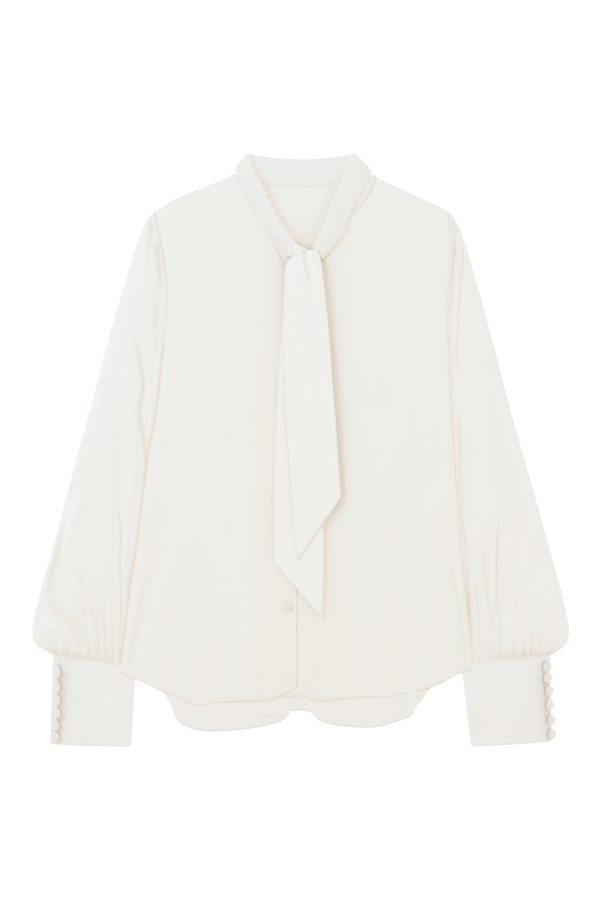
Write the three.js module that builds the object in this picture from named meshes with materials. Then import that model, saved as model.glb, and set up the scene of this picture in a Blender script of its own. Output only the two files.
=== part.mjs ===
import * as THREE from 'three';

// Tie neck blouse, laid flat face up on a table. Millimetres, +Z up.
// The collar points along +Y and the hem along -Y; +X is the wearer's left.
// The origin is the bottom centre of the laid garment.

// Driving sizes
const CLOTH = 1.2; // wall of the crepe panels, turnings included
const CUFF_CLOTH = 1.6; // interfaced double cuff
const BAND_CLOTH = 1.4; // double layer of the neckband and the tie
const SEAM_GAP = 0.3;
const COLLAR_STAND_LIFT = 0.4; // the neckband's thicker wall over the front's level
const ARMHOLE_GAP = 0.9; // middle to middle, on slanting edges
const LAYER = CLOTH + SEAM_GAP; // one panel lying on another, middle to middle

const SHOULDER_TIP_Y = 286.5;
const FLAT_BACK_Z = CLOTH / 2;
const EDGE_PLATEAU = 20; // width of the body's edge that rides over a sleeve
const EDGE_SLOPE = 24; // width over which the body comes down beside it
const PLACKET_EDGE_X = -4.1; // edge of the buttoned front, the upper one
const PLACKET_WIDTH = 24.2;
const PLACKET_RAMP_X = -60; // the upper front starts to climb over the lower one here
const PLACKET_LAP_EASE = 6; // and is up this far before the lower one's edge
const EDGE_STEPS = [0, EDGE_PLATEAU / 2, EDGE_PLATEAU, EDGE_PLATEAU + EDGE_SLOPE];
const HEM_LEVEL = -300;
const SIDE_ROLL = { height: 1.8, top: 130, fade: 60 };
const HEM_WAVES = { height: 1.8, pitch: 57, crestX: 42, reach: 110, sideFade: 10 };
const BUTTON_X = -16.2;
const BUTTON_PITCH = 98;
const SHOWN_BUTTON_Y = -188.4;
const FRONT_BUTTON = { radius: 5.6, height: 2.2 };
const CUFF_BUTTON = {
  radius: 6.3, height: 3.4, tilt: THREE.MathUtils.degToRad(40), shankRadius: 1.2,
};
const BUTTON_BACK = 0.82; // radius of a button's flat back as a share of the button's
const BUTTONS_ON_FRONT = 4;

// Sides of the body from the shoulder tip down, and how far the edge lifts over the sleeve
const BODY_SIDES = [
  { y: -262, left: -217.2, right: 206.2, lift: 5.2 },
  { y: -230, left: -212.8, right: 203.6, lift: 4.6 },
  { y: -180, left: -206.5, right: 198.0, lift: 4.0 },
  { y: -120, left: -197.6, right: 192.2, lift: 4.0 },
  { y: -60, left: -190.0, right: 187.2, lift: 4.0 },
  { y: 0, left: -181.3, right: 183.4, lift: 4.0 },
  { y: 60, left: -171.8, right: 180.0, lift: 4.0 },
  { y: 110, left: -166.8, right: 177.9, lift: 4.0 },
  { y: 122, left: -165.0, right: 177.2, lift: 4.0 },
  { y: 146, left: -161.4, right: 175.8, lift: 0 },
  { y: 180, left: -160.8, right: 175.8, lift: 0 },
  { y: 200, left: -161.2, right: 176.8, lift: 0 },
  { y: 226, left: -164.0, right: 178.4, lift: 0 },
  { y: 252, left: -168.2, right: 179.6, lift: 0 },
  { y: SHOULDER_TIP_Y, left: -175.2, right: 176.4, lift: 0 },
];

const BACK_HEM = [
  { x: -217.4, y: -267 }, { x: -200, y: -274 }, { x: -180, y: -282.5 }, { x: -166, y: -290.5 },
  { x: -156, y: -306.6 }, { x: -151.2, y: -320.4 }, { x: -142.2, y: -329.4 },
  { x: -127, y: -335.4 }, { x: -109, y: -337.8 }, { x: -82.8, y: -336.6 }, { x: -52.8, y: -333 },
  { x: -37, y: -329.4 }, { x: -22, y: -324.6 }, { x: -17.3, y: -319.6 }, { x: -14, y: -313.4 },
  { x: 2, y: -312.6 }, { x: 11.5, y: -314.4 }, { x: 19.8, y: -323.2 }, { x: 25.8, y: -326.4 },
  { x: 54, y: -331.8 }, { x: 76.8, y: -333 }, { x: 92, y: -332.4 }, { x: 107, y: -328.2 },
  { x: 129.6, y: -320.4 }, { x: 135.6, y: -315 }, { x: 139, y: -306 }, { x: 146, y: -298.6 },
  { x: 155, y: -286.6 }, { x: 167, y: -280.4 }, { x: 182, y: -272 }, { x: 194, y: -266 },
  { x: 206.2, y: -262 },
];
const RIGHT_FRONT_HEM = [
  { x: -217.4, y: -267 }, { x: -200, y: -274 }, { x: -180, y: -282.5 }, { x: -166, y: -290 },
  { x: -150, y: -294.3 }, { x: -142, y: -300.2 }, { x: -133, y: -304.6 }, { x: -120, y: -306.1 },
  { x: -97, y: -302.6 }, { x: -67, y: -301.8 }, { x: -44, y: -300.6 }, { x: -31, y: -297 },
  { x: -20, y: -292.6 }, { x: -7.2, y: -285 }, { x: PLACKET_EDGE_X, y: -280.2 },
];
const LEFT_FRONT_HEM = [
  { x: -28.3, y: -296.4 }, { x: 2, y: -294.6 }, { x: 9.4, y: -298.6 }, { x: 20, y: -300.6 },
  { x: 32, y: -301.2 }, { x: 47, y: -299.4 }, { x: 71, y: -296.8 }, { x: 107, y: -295.8 },
  { x: 122, y: -292.2 }, { x: 155, y: -285.4 }, { x: 167, y: -279.8 }, { x: 182, y: -271.6 },
  { x: 194, y: -265.6 }, { x: 206.2, y: -262 },
];

const NECK_POINT = { left: -80, right: 85 };
const SHOULDERS = [
  { x: -175.2, y: 286.5 }, { x: -153, y: 300.8 }, { x: -118, y: 315.4 }, { x: -85, y: 329.4 },
  { x: NECK_POINT.left, y: 332.4 }, { x: NECK_POINT.right, y: 330.6 }, { x: 101, y: 322.4 },
  { x: 133, y: 308 }, { x: 164, y: 293.6 }, { x: 176.4, y: 286.5 },
];
const BACK_NECK = [
  { x: NECK_POINT.left, y: 332.4 }, { x: -62, y: 323.6 }, { x: -40, y: 319.2 },
  { x: -4.2, y: 317.2 }, { x: 45, y: 319.2 }, { x: 66, y: 323.4 },
  { x: NECK_POINT.right, y: 330.6 },
];
const FRONT_NECK = [
  { x: NECK_POINT.left, y: 332.4 }, { x: -64.4, y: 300.6 }, { x: -49.4, y: 276.4 },
  { x: -35.8, y: 253.6 }, { x: -17.8, y: 221 }, { x: PLACKET_EDGE_X, y: 212 }, { x: 10, y: 214 },
  { x: 26.4, y: 228 }, { x: 38.2, y: 243 }, { x: 54.8, y: 276.4 }, { x: 65.2, y: 286.6 },
  { x: 80.4, y: 306.4 }, { x: NECK_POINT.right, y: 330.6 },
];

// Sleeve sections from armhole to cuff seam. Each runs from the outer fold (outX, outY) to the
// inner fold (inX, inY), which lies under the body. edge is the radius of the outer fold, crown the
// height of the sleeve between its folds, seam the share of the armhole's own curve it still has.
const RIGHT_SLEEVE = [
  { outX: -175.9, outY: 287.2, inX: -162.1, inY: 148.4, edge: 0.9, crown: 0, seam: 1 },
  { outX: -182, outY: 282.4, inX: -163.6, inY: 141, edge: 1, crown: 1.2, seam: 0.8 },
  { outX: -190, outY: 268.6, inX: -165.4, inY: 133, edge: 1.2, crown: 3, seam: 0.5 },
  { outX: -198, outY: 247.6, inX: -167.4, inY: 125.6, edge: 1.4, crown: 4.4, seam: 0.25 },
  { outX: -208.6, outY: 212, inX: -160, inY: 110, edge: 1.7, crown: 5.4, seam: 0 },
  { outX: -221, outY: 169.4, inX: -158, inY: 80, edge: 2, crown: 6, seam: 0 },
  { outX: -238, outY: 107.6, inX: -163.4, inY: 36, edge: 2.3, crown: 6.4, seam: 0 },
  { outX: -255, outY: 43, inX: -171, inY: -14, edge: 2.6, crown: 6.6, seam: 0 },
  { outX: -273, outY: -22, inX: -179.4, inY: -64, edge: 2.8, crown: 6.6, seam: 0 },
  { outX: -290, outY: -87, inX: -188, inY: -116, edge: 3, crown: 7, seam: 0 },
  { outX: -302, outY: -130.4, inX: -194, inY: -156, edge: 3.4, crown: 8, seam: 0 },
  { outX: -312, outY: -166.6, inX: -198.6, inY: -190, edge: 4, crown: 9, seam: 0 },
  { outX: -319.6, outY: -197, inX: -202, inY: -216, edge: 4.8, crown: 10, seam: 0 },
  { outX: -322.8, outY: -219, inX: -204, inY: -234, edge: 5.4, crown: 9.6, seam: 0 },
  { outX: -317, outY: -233.4, inX: -204.6, inY: -247, edge: 5, crown: 8, seam: 0 },
  { outX: -306.4, outY: -239.6, inX: -203, inY: -256, edge: 4, crown: 5, seam: 0 },
  { outX: -298, outY: -244, inX: -200, inY: -263.8, edge: 2.9, crown: 2.4, seam: 0 },
];
const LEFT_SLEEVE = [
  { outX: 176.9, outY: 287.2, inX: 176.4, inY: 148.4, edge: 0.9, crown: 0, seam: 1 },
  { outX: 182, outY: 282, inX: 177.4, inY: 141, edge: 1, crown: 1.2, seam: 0.8 },
  { outX: 189, outY: 267.6, inX: 178.4, inY: 133, edge: 1.2, crown: 3, seam: 0.5 },
  { outX: 196.6, outY: 247.6, inX: 179.8, inY: 125.6, edge: 1.4, crown: 4.4, seam: 0.25 },
  { outX: 207.6, outY: 211.8, inX: 172, inY: 110, edge: 1.7, crown: 5.4, seam: 0 },
  { outX: 219.6, outY: 170, inX: 168.4, inY: 80, edge: 2, crown: 6, seam: 0 },
  { outX: 236.4, outY: 107, inX: 170, inY: 36, edge: 2.3, crown: 6.4, seam: 0 },
  { outX: 253, outY: 43, inX: 173.4, inY: -14, edge: 2.6, crown: 6.6, seam: 0 },
  { outX: 271.6, outY: -22, inX: 177, inY: -64, edge: 2.8, crown: 6.6, seam: 0 },
  { outX: 289.8, outY: -87, inX: 181.4, inY: -116, edge: 3, crown: 7, seam: 0 },
  { outX: 301.8, outY: -130.4, inX: 185, inY: -156, edge: 3.4, crown: 8, seam: 0 },
  { outX: 311.6, outY: -166.6, inX: 188, inY: -190, edge: 4, crown: 9, seam: 0 },
  { outX: 318.8, outY: -197, inX: 190.6, inY: -214, edge: 4.8, crown: 10, seam: 0 },
  { outX: 321.8, outY: -219, inX: 192, inY: -230, edge: 5.4, crown: 9.6, seam: 0 },
  { outX: 317, outY: -233.4, inX: 193, inY: -242, edge: 5, crown: 8, seam: 0 },
  { outX: 308, outY: -240.4, inX: 193.6, inY: -251, edge: 4, crown: 5, seam: 0 },
  { outX: 299, outY: -245.4, inX: 193.6, inY: -258, edge: 2.9, crown: 2.4, seam: 0 },
];

// Folds that the gathers at the cuff send up the sleeve. seam, low, mid and high give the fold's
// place as a share of the width from the outer fold, at the cuff seam and at the heights below.
const FOLD_HEIGHTS = { seam: 0, low: 60, mid: 150, high: 240 };
const RIGHT_SLEEVE_FOLDS = [
  { seam: 0.33, low: 0.2, mid: 0.07, high: 0.04, reach: 150, depth: 5 },
  { seam: 0.45, low: 0.46, mid: 0.4, high: 0.4, reach: 70, depth: 4 },
  { seam: 0.56, low: 0.55, mid: 0.52, high: 0.5, reach: 120, depth: 3.5 },
  { seam: 0.69, low: 0.73, mid: 0.66, high: 0.6, reach: 60, depth: 4 },
  { seam: 0.83, low: 0.86, mid: 0.775, high: 0.62, reach: 270, depth: 4.5 },
];
const LEFT_SLEEVE_FOLDS = [
  { seam: 0.31, low: 0.3, mid: 0.3, high: 0.3, reach: 45, depth: 4 },
  { seam: 0.42, low: 0.42, mid: 0.38, high: 0.36, reach: 55, depth: 4 },
  { seam: 0.577, low: 0.62, mid: 0.54, high: 0.42, reach: 270, depth: 5 },
  { seam: 0.66, low: 0.71, mid: 0.68, high: 0.62, reach: 180, depth: 3.5 },
  { seam: 0.81, low: 0.84, mid: 0.82, high: 0.74, reach: 120, depth: 4 },
];
const FOLD_HALF_WIDTH = 3.2;

// Cuffs: the four corners of each flattened tube, and the run of its six buttons
const RIGHT_CUFF = {
  outTop: { x: -297.7, y: -244.8 }, inTop: { x: -199.2, y: -264.8 },
  outEnd: { x: -301, y: -352.2 }, inEnd: { x: -204.4, y: -355.6 },
  outer: -1, firstButton: { x: -291.6, y: -266.4 }, lastButton: { x: -294.8, y: -343.4 },
};
const LEFT_CUFF = {
  outTop: { x: 298.9, y: -246.2 }, inTop: { x: 193.2, y: -259 },
  outEnd: { x: 300.6, y: -348.8 }, inEnd: { x: 204, y: -355.6 },
  outer: 1, firstButton: { x: 294.6, y: -262.4 }, lastButton: { x: 299, y: -340.6 },
};
const CUFF_BUTTONS = 6;
const CUFF_OUTER_FOLD = 1.9;
const CUFF_INNER_FOLD = 1.5;
const CUFF_LAP = 8; // how far the buttoned end runs under the end with the loops
const CUFF_SLIT = 11; // from the outer fold to the edge that carries the loops
const CUFF_LAP_LIFT = 2.6; // height that the lapping edge gains over the buttoned end
const CUFF_PUFF = 0.6; // soft rise of the cuff's top between its folds

// Collar: rows along each turned-down front, from the crossing up to the corner of the neck
const COLLAR_TOP_Z = 5.3;
const COLLAR_CORNER_TURN = 2.2; // radius of the turn under the corner
const COLLAR_TUCK = 12; // length that runs on under the neck
const RIGHT_COLLAR = [
  { foldX: -6.6, foldY: 247.4, edgeX: -14.2, edgeY: 232.8 },
  { foldX: -9.4, foldY: 253.4, edgeX: -21, edgeY: 244 },
  { foldX: -15.6, foldY: 261.4, edgeX: -31.4, edgeY: 255.4 },
  { foldX: -26, foldY: 278, edgeX: -42, edgeY: 270.8 },
  { foldX: -36, foldY: 297, edgeX: -53.2, edgeY: 288.8 },
  { foldX: -47.6, foldY: 321.6, edgeX: -65.8, edgeY: 309.6 },
  { foldX: -57.2, foldY: 341, edgeX: -74, edgeY: 325.4 },
  { foldX: -60.6, foldY: 354.4, edgeX: -77, edgeY: 336.4 },
];
const LEFT_COLLAR = [
  { foldX: 13.6, foldY: 245.6, edgeX: 26, edgeY: 230 },
  { foldX: 16, foldY: 249, edgeX: 31.4, edgeY: 236.4 },
  { foldX: 20.6, foldY: 257, edgeX: 40, edgeY: 247.6 },
  { foldX: 29, foldY: 276, edgeX: 50.6, edgeY: 262.6 },
  { foldX: 36.6, foldY: 296, edgeX: 58.8, edgeY: 284.8 },
  { foldX: 46.6, foldY: 320, edgeX: 69.6, edgeY: 303.2 },
  { foldX: 56, foldY: 342, edgeX: 79.4, edgeY: 322.4 },
  { foldX: 60.8, foldY: 354.4, edgeX: 82.2, edgeY: 332 },
];
// Standing part behind the neck, then its fold and the turned-down part under it.
const COLLAR_BACK = [
  { y: 322.4, dip: -4.6, z: 0.9, left: -50, right: 50 },
  { y: 328, dip: -3.6, z: 2.6, left: -51.6, right: 51.4 },
  { y: 336, dip: -1.6, z: 3.6, left: -53.6, right: 53 },
  { y: 345, dip: -3, z: 3.8, left: -55, right: 54.4 },
  { y: 350.6, dip: -4.6, z: 3.2, left: -55, right: 54.4 },
  { y: 352.4, dip: -5, z: 2.2, left: -54.6, right: 54 },
  { y: 350.4, dip: -4.6, z: 1, left: -52, right: 51.4 },
  { y: 344, dip: -3, z: 0.7, left: -47, right: 46 },
  { y: 328, dip: -2, z: 0.7, left: -47, right: 46 },
];
const NECKBAND_INSET = 6; // the stand's inner edge behind the collar's fold
const NECKBAND_TOP_Y = 325;
const NECKBAND_END_Y = 242;

// Tie ends: left and right edge points from the crossing to the cut end
const FRONT_TAIL = [
  { leftX: -9, leftY: 234, rightX: 17, rightY: 238.8, z: 9.1 },
  { leftX: -11.6, leftY: 230, rightX: 21, rightY: 231.6, z: 9.6 },
  { leftX: -15, leftY: 223, rightX: 24, rightY: 222, z: 9.8 },
  { leftX: -17.6, leftY: 214, rightX: 25.6, rightY: 212, z: 9.9 },
  { leftX: -19.6, leftY: 178, rightX: 30.2, rightY: 176, z: 9.8 },
  { leftX: -21.6, leftY: 132.6, rightX: 34.4, rightY: 130, z: 9.7 },
  { leftX: -19.2, leftY: 84.6, rightX: 37.6, rightY: 84, z: 9.7 },
  { leftX: -16.2, leftY: 24.6, rightX: 41.6, rightY: 34, z: 9.7 },
  { leftX: -11.6, leftY: -38.4, rightX: 44.8, rightY: -12, z: 9.7 },
  { leftX: -8.6, leftY: -84, rightX: 46.4, rightY: -36, z: 9.6 },
  { leftX: -4.4, leftY: -130, rightX: 47.4, rightY: -56.4, z: 9.4 },
];
// The rear end starts as the strip that crosses under the knot.
const REAR_TAIL = [
  { leftX: -8.4, leftY: 239, rightX: 16.6, rightY: 240, z: 6.7 },
  { leftX: -13.4, leftY: 227.4, rightX: 24, rightY: 227.6, z: 6.7 },
  { leftX: -12, leftY: 220, rightX: 18, rightY: 221, z: 5.9 },
  { leftX: -15, leftY: 203, rightX: 18, rightY: 203, z: 6.6 },
  { leftX: -18, leftY: 176, rightX: 18.6, rightY: 176, z: 7.7 },
  { leftX: -22.8, leftY: 132.6, rightX: 19.6, rightY: 130, z: 7.7 },
  { leftX: -26.6, leftY: 93.6, rightX: 21, rightY: 84, z: 7.7 },
  { leftX: -28.8, leftY: 42.6, rightX: 22.6, rightY: 24, z: 7.7 },
  { leftX: -31.2, leftY: -32.4, rightX: 25, rightY: -50, z: 7.7 },
  { leftX: -32.4, leftY: -90, rightX: 27, rightY: -110, z: 7.6 },
  { leftX: -32.4, leftY: -114, rightX: 26.6, rightY: -152, z: 7.2 },
  { leftX: -32, leftY: -134.4, rightX: 24.4, rightY: -200.8, z: 5.9 },
];
const TAIL_PLEAT = 2.2; // height of the two soft pleats that run down from the knot

// Finishes
const crepe = (name, color, roughness) => new THREE.MeshStandardMaterial({
  name, color, roughness, metalness: 0, side: THREE.DoubleSide,
});
const SHELL_FINISH = crepe('crepe', 0xeeede9, 0.62);
const TRIM_FINISH = crepe('crepe_trim', 0xecebe6, 0.58);
const BUTTON_FINISH = crepe('covered_button', 0xe9e8e4, 0.5);

// Tables
const lerp = THREE.MathUtils.lerp;
const clamp01 = (t) => THREE.MathUtils.clamp(t, 0, 1);
const smooth = (t) => THREE.MathUtils.smoothstep(t, 0, 1);

function lookup(table, key, value, at) {
  const last = table.length - 1;
  if (at <= table[0][key]) {
    return table[0][value];
  }
  for (let i = 0; i < last; i += 1) {
    const lower = table[i];
    const upper = table[i + 1];
    if (at <= upper[key]) {
      const t = (at - lower[key]) / (upper[key] - lower[key]);
      return lerp(lower[value], upper[value], t);
    }
  }
  return table[last][value];
}

// Walls
// A wall is given by the points of its middle surface, row by row, and gets half its thickness on
// either side of them. A closed wall joins its last column to its first, as a tube does.
function middleNormals(rows, closed) {
  const last = rows.length - 1;
  return rows.map((row, i) => row.map((point, j) => {
    const count = row.length;
    const before = closed ? (j + count - 1) % count : Math.max(j - 1, 0);
    const after = closed ? (j + 1) % count : Math.min(j + 1, count - 1);
    const across = row[after].clone().sub(row[before]);
    const down = rows[Math.min(i + 1, last)][j].clone().sub(rows[Math.max(i - 1, 0)][j]);
    return across.cross(down).normalize();
  }));
}

function wall(rows, thickness, closed = false) {
  const normals = middleNormals(rows, closed);
  const rowCount = rows.length;
  const columnCount = rows[0].length;
  const positions = [];
  for (const side of [0.5, -0.5]) {
    rows.forEach((row, i) => row.forEach((point, j) => {
      const moved = point.clone().addScaledVector(normals[i][j], side * thickness);
      positions.push(moved.x, moved.y, moved.z);
    }));
  }
  const under = rowCount * columnCount;
  const at = (i, j) => i * columnCount + (j % columnCount);
  const faces = [];
  const quad = (a, b, c, d) => faces.push(a, b, c, a, c, d);
  const spans = closed ? columnCount : columnCount - 1;
  for (let i = 0; i < rowCount - 1; i += 1) {
    for (let j = 0; j < spans; j += 1) {
      const corners = [at(i, j), at(i, j + 1), at(i + 1, j + 1), at(i + 1, j)];
      quad(...corners);
      const [a, b, c, d] = corners.map((corner) => corner + under);
      quad(a, d, c, b);
    }
  }
  for (let j = 0; j < spans; j += 1) {
    quad(at(0, j + 1), at(0, j), at(0, j) + under, at(0, j + 1) + under);
    const end = rowCount - 1;
    quad(at(end, j), at(end, j + 1), at(end, j + 1) + under, at(end, j) + under);
  }
  for (let i = 0; i < rowCount - 1 && !closed; i += 1) {
    const end = columnCount - 1;
    quad(at(i, 0), at(i + 1, 0), at(i + 1, 0) + under, at(i, 0) + under);
    quad(at(i + 1, end), at(i, end), at(i, end) + under, at(i + 1, end) + under);
  }
  const geometry = new THREE.BufferGeometry();
  geometry.setAttribute('position', new THREE.Float32BufferAttribute(positions, 3));
  geometry.setIndex(faces);
  if (enclosedVolume(geometry) < 0) {
    geometry.setIndex(faces.reverse());
  }
  geometry.computeVertexNormals();
  return geometry;
}

function enclosedVolume(geometry) {
  const position = geometry.getAttribute('position');
  const index = geometry.getIndex();
  const corner = [new THREE.Vector3(), new THREE.Vector3(), new THREE.Vector3()];
  let sum = 0;
  for (let i = 0; i < index.count; i += 3) {
    corner.forEach((point, k) => point.fromBufferAttribute(position, index.getX(i + k)));
    sum += corner[0].dot(corner[1].clone().cross(corner[2]));
  }
  return sum / 6;
}

// Body
// Heights of the back's middle surface: flat on the table, and lifted where its sides ride over
// the sleeves. The lift runs straight between the columns, so that front and back stay parallel.
function backHeight(x, y) {
  const fromLeft = x - lookup(BODY_SIDES, 'y', 'left', y);
  const fromRight = lookup(BODY_SIDES, 'y', 'right', y) - x;
  const fromSide = Math.min(fromLeft, fromRight);
  const share = 1 - clamp01((fromSide - EDGE_PLATEAU) / EDGE_SLOPE);
  return FLAT_BACK_Z + lookup(BODY_SIDES, 'y', 'lift', y) * share;
}

// The fronts roll softly beside the sleeves and lie in shallow waves above the hem.
function frontSwell(x, y) {
  const fromLeft = x - lookup(BODY_SIDES, 'y', 'left', y);
  const fromRight = lookup(BODY_SIDES, 'y', 'right', y) - x;
  const fromSide = Math.min(fromLeft, fromRight);
  const roll = 1 - clamp01(Math.abs(fromSide - EDGE_STEPS[1]) / EDGE_STEPS[1]);
  const rollLength = clamp01((SIDE_ROLL.top - y) / SIDE_ROLL.fade);
  const wave = 0.5 + 0.5 * Math.cos(2 * Math.PI * (x - HEM_WAVES.crestX) / HEM_WAVES.pitch);
  const waveFade = 1 - smooth((y - HEM_LEVEL) / HEM_WAVES.reach);
  const waveWidth = clamp01((fromSide - EDGE_STEPS[3]) / HEM_WAVES.sideFade);
  return SIDE_ROLL.height * roll * rollLength + HEM_WAVES.height * wave * waveFade * waveWidth;
}

function rightFrontHeight(x, y) {
  const rampEnd = PLACKET_EDGE_X - PLACKET_WIDTH - PLACKET_LAP_EASE;
  const overlap = clamp01((x - PLACKET_RAMP_X) / (rampEnd - PLACKET_RAMP_X));
  return backHeight(x, y) + LAYER * (1 + overlap) + frontSwell(x, y);
}

function leftFrontHeight(x, y) {
  return backHeight(x, y) + LAYER + frontSwell(x, y);
}

// Rows share one rule, so that panels that lie on each other bend along the same lines: shares of
// the way from the hem to the first level row, the level rows, then shares of the way to the top.
const LEVEL_ROWS = [-240, -205, -160, -110, -60, 0, 60, 98, 122, 134, 146, 176, 200];
const HEM_SHARES = [0, 0.35, 0.7];
const TOP_SHARES = [0.3, 0.6, 1];

function rowHeight(row, x, hem, top) {
  if (row < HEM_SHARES.length) {
    return lerp(lookup(hem, 'x', 'y', x), LEVEL_ROWS[0], HEM_SHARES[row]);
  }
  const level = row - HEM_SHARES.length;
  if (level < LEVEL_ROWS.length) {
    return LEVEL_ROWS[level];
  }
  const share = TOP_SHARES[level - LEVEL_ROWS.length];
  return lerp(LEVEL_ROWS[LEVEL_ROWS.length - 1], lookup(top, 'x', 'y', x), share);
}

const BODY_ROWS = HEM_SHARES.length + LEVEL_ROWS.length + TOP_SHARES.length;

// A column keeps a set distance from a side, or a set x, or a share of the way between two others.
function panel(columns, hem, top, height) {
  const rows = [];
  for (let row = 0; row < BODY_ROWS; row += 1) {
    rows.push(columns.map((column) => {
      let y = rowHeight(row, column(0), hem, top);
      let x = column(y);
      for (let step = 0; step < 6; step += 1) {
        y = rowHeight(row, x, hem, top);
        x = column(y);
      }
      return new THREE.Vector3(x, y, height(x, y));
    }));
  }
  return wall(rows, CLOTH);
}

const sideLeft = (distance) => (y) => lookup(BODY_SIDES, 'y', 'left', y) + distance;
const sideRight = (distance) => (y) => lookup(BODY_SIDES, 'y', 'right', y) - distance;
const fixed = (x) => () => x;
const between = (from, to, share) => (y) => lerp(from(y), to(y), share);
const INSIDE_LEFT = sideLeft(EDGE_STEPS[3]);
const INSIDE_RIGHT = sideRight(EDGE_STEPS[3]);

const shareAt = (from, to, y, x) => (x - from(y)) / (to(y) - from(y));

function columnsBetween(from, to, throughHem, throughTop) {
  const shares = [
    ...throughHem.map((x) => shareAt(from, to, HEM_LEVEL, x)),
    ...throughTop.map((x) => shareAt(from, to, SHOULDER_TIP_Y + 40, x)),
  ];
  return shares.sort((a, b) => a - b).map((share) => between(from, to, share));
}

function backPanel() {
  const inside = columnsBetween(
    INSIDE_LEFT, INSIDE_RIGHT,
    [-165, -156, -149, -138, -88, -66, -40, -22, -14, 4, 12, 22, 44, 70, 118, 133, 141, 152],
    [NECK_POINT.left, NECK_POINT.right],
  );
  const columns = [
    ...EDGE_STEPS.map(sideLeft), ...inside, ...[...EDGE_STEPS].reverse().map(sideRight),
  ];
  const top = [...SHOULDERS.slice(0, 4), ...BACK_NECK, ...SHOULDERS.slice(6)];
  return panel(columns, BACK_HEM, top, backHeight);
}

function rightFront() {
  const ramp = fixed(PLACKET_RAMP_X);
  const columns = [
    ...EDGE_STEPS.map(sideLeft),
    ...columnsBetween(INSIDE_LEFT, ramp, [-156, -142, -129, -72], [NECK_POINT.left]),
    ramp, fixed(-48), fixed(PLACKET_EDGE_X - PLACKET_WIDTH - PLACKET_LAP_EASE), fixed(-18),
    fixed(PLACKET_EDGE_X),
  ];
  const top = [...SHOULDERS.slice(0, 4), ...FRONT_NECK];
  return panel(columns, RIGHT_FRONT_HEM, top, rightFrontHeight);
}

function leftFront() {
  const placket = fixed(14);
  const columns = [
    fixed(PLACKET_EDGE_X - PLACKET_WIDTH), fixed(-15), fixed(-4), fixed(5), placket,
    ...columnsBetween(placket, INSIDE_RIGHT, [28, 128, 150], [36, 54.8, 65.2, 80.4, NECK_POINT.right]),
    ...[...EDGE_STEPS].reverse().map(sideRight),
  ];
  const top = [...FRONT_NECK, ...SHOULDERS.slice(6)];
  return panel(columns, LEFT_FRONT_HEM, top, leftFrontHeight);
}

// Sleeves
const INNER_FOLD = 0.9;
const RISE_WIDTH = 9; // width beside the body over which the sleeve rises to its full height
const FOLD_TURN = [60, 20, -20, -60];
const BOTTOM_SHARES = [0.94, 0.6, 0.3, 0.06];

function foldPlace(fold, height) {
  const marks = Object.keys(FOLD_HEIGHTS).map((name) => ({
    height: FOLD_HEIGHTS[name], place: fold[name],
  }));
  return lookup(marks, 'height', 'place', height);
}

function foldDrop(folds, places, width, share, height) {
  let drop = 0;
  folds.forEach((fold, i) => {
    const away = (share - places[i]) * width / FOLD_HALF_WIDTH;
    const fade = 1 - smooth(height / fold.reach);
    drop += fold.depth * fade * Math.exp(-away * away);
  });
  return drop;
}

// The columns on top follow the folds: one in each trough and one on the ridge between two. The
// last three lie where the sleeve comes down beside the body, at the body's edge and at the fold.
function sleeveShares(places, shoulderShare, edgeShare) {
  const shares = [0, places[0] * 0.35, places[0] * 0.72];
  places.forEach((place, i) => {
    const next = i + 1 < places.length ? places[i + 1] : shoulderShare;
    shares.push(place, lerp(place, next, 0.5));
  });
  shares.push(shoulderShare, edgeShare, 1);
  return shares;
}

function sleeveSection(station, folds, height, sideX) {
  const outer = new THREE.Vector2(station.outX, station.outY);
  const inner = new THREE.Vector2(station.inX, station.inY);
  const width = outer.distanceTo(inner);
  const low = FLAT_BACK_Z;
  const place = (reach, z) => {
    const onLine = outer.clone().lerp(inner, reach / width);
    const toArmhole = sideX(onLine.y) - onLine.x;
    return new THREE.Vector3(onLine.x + toArmhole * station.seam, onLine.y, z);
  };
  const points = [];
  const flatWidth = width - station.edge - INNER_FOLD;
  const outside = (share) => {
    const flat = place(station.edge + share * flatWidth, low);
    return Math.abs(flat.x) - Math.abs(sideX(flat.y));
  };
  const shareOutside = (distance, fallback) => {
    for (let share = fallback; share > 0.5; share -= 0.005) {
      if (outside(share) > distance) {
        return share;
      }
    }
    return fallback;
  };
  const edgeShare = shareOutside(1, 0.96);
  const shoulderShare = Math.min(shareOutside(1 + RISE_WIDTH, 0.9), edgeShare - 0.04);
  const places = folds.map((fold, i) => (
    Math.min(foldPlace(fold, height), shoulderShare - 0.05 * (folds.length - i))
  ));
  for (const share of sleeveShares(places, shoulderShare, edgeShare)) {
    const besideBody = clamp01((outside(share) - 1.2) / RISE_WIDTH) ** 0.6;
    const rise = Math.min(Math.sin(Math.PI * clamp01(share)) ** 0.7, besideBody);
    const plain = low + 2 * lerp(station.edge, INNER_FOLD, smooth(share)) + station.crown * rise;
    const drop = foldDrop(folds, places, width, share, height);
    const z = Math.max(plain - drop, low + 2 * INNER_FOLD);
    points.push(place(station.edge + share * flatWidth, z));
  }
  for (const angle of FOLD_TURN.map(THREE.MathUtils.degToRad)) {
    const reach = width - INNER_FOLD + INNER_FOLD * Math.cos(angle);
    points.push(place(reach, low + INNER_FOLD + INNER_FOLD * Math.sin(angle)));
  }
  for (const share of BOTTOM_SHARES) {
    points.push(place(station.edge + share * flatWidth, low));
  }
  for (const angle of [...FOLD_TURN].reverse().map(THREE.MathUtils.degToRad)) {
    const reach = station.edge - station.edge * Math.cos(angle);
    points.push(place(reach, low + station.edge + station.edge * Math.sin(angle)));
  }
  return points;
}

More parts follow.
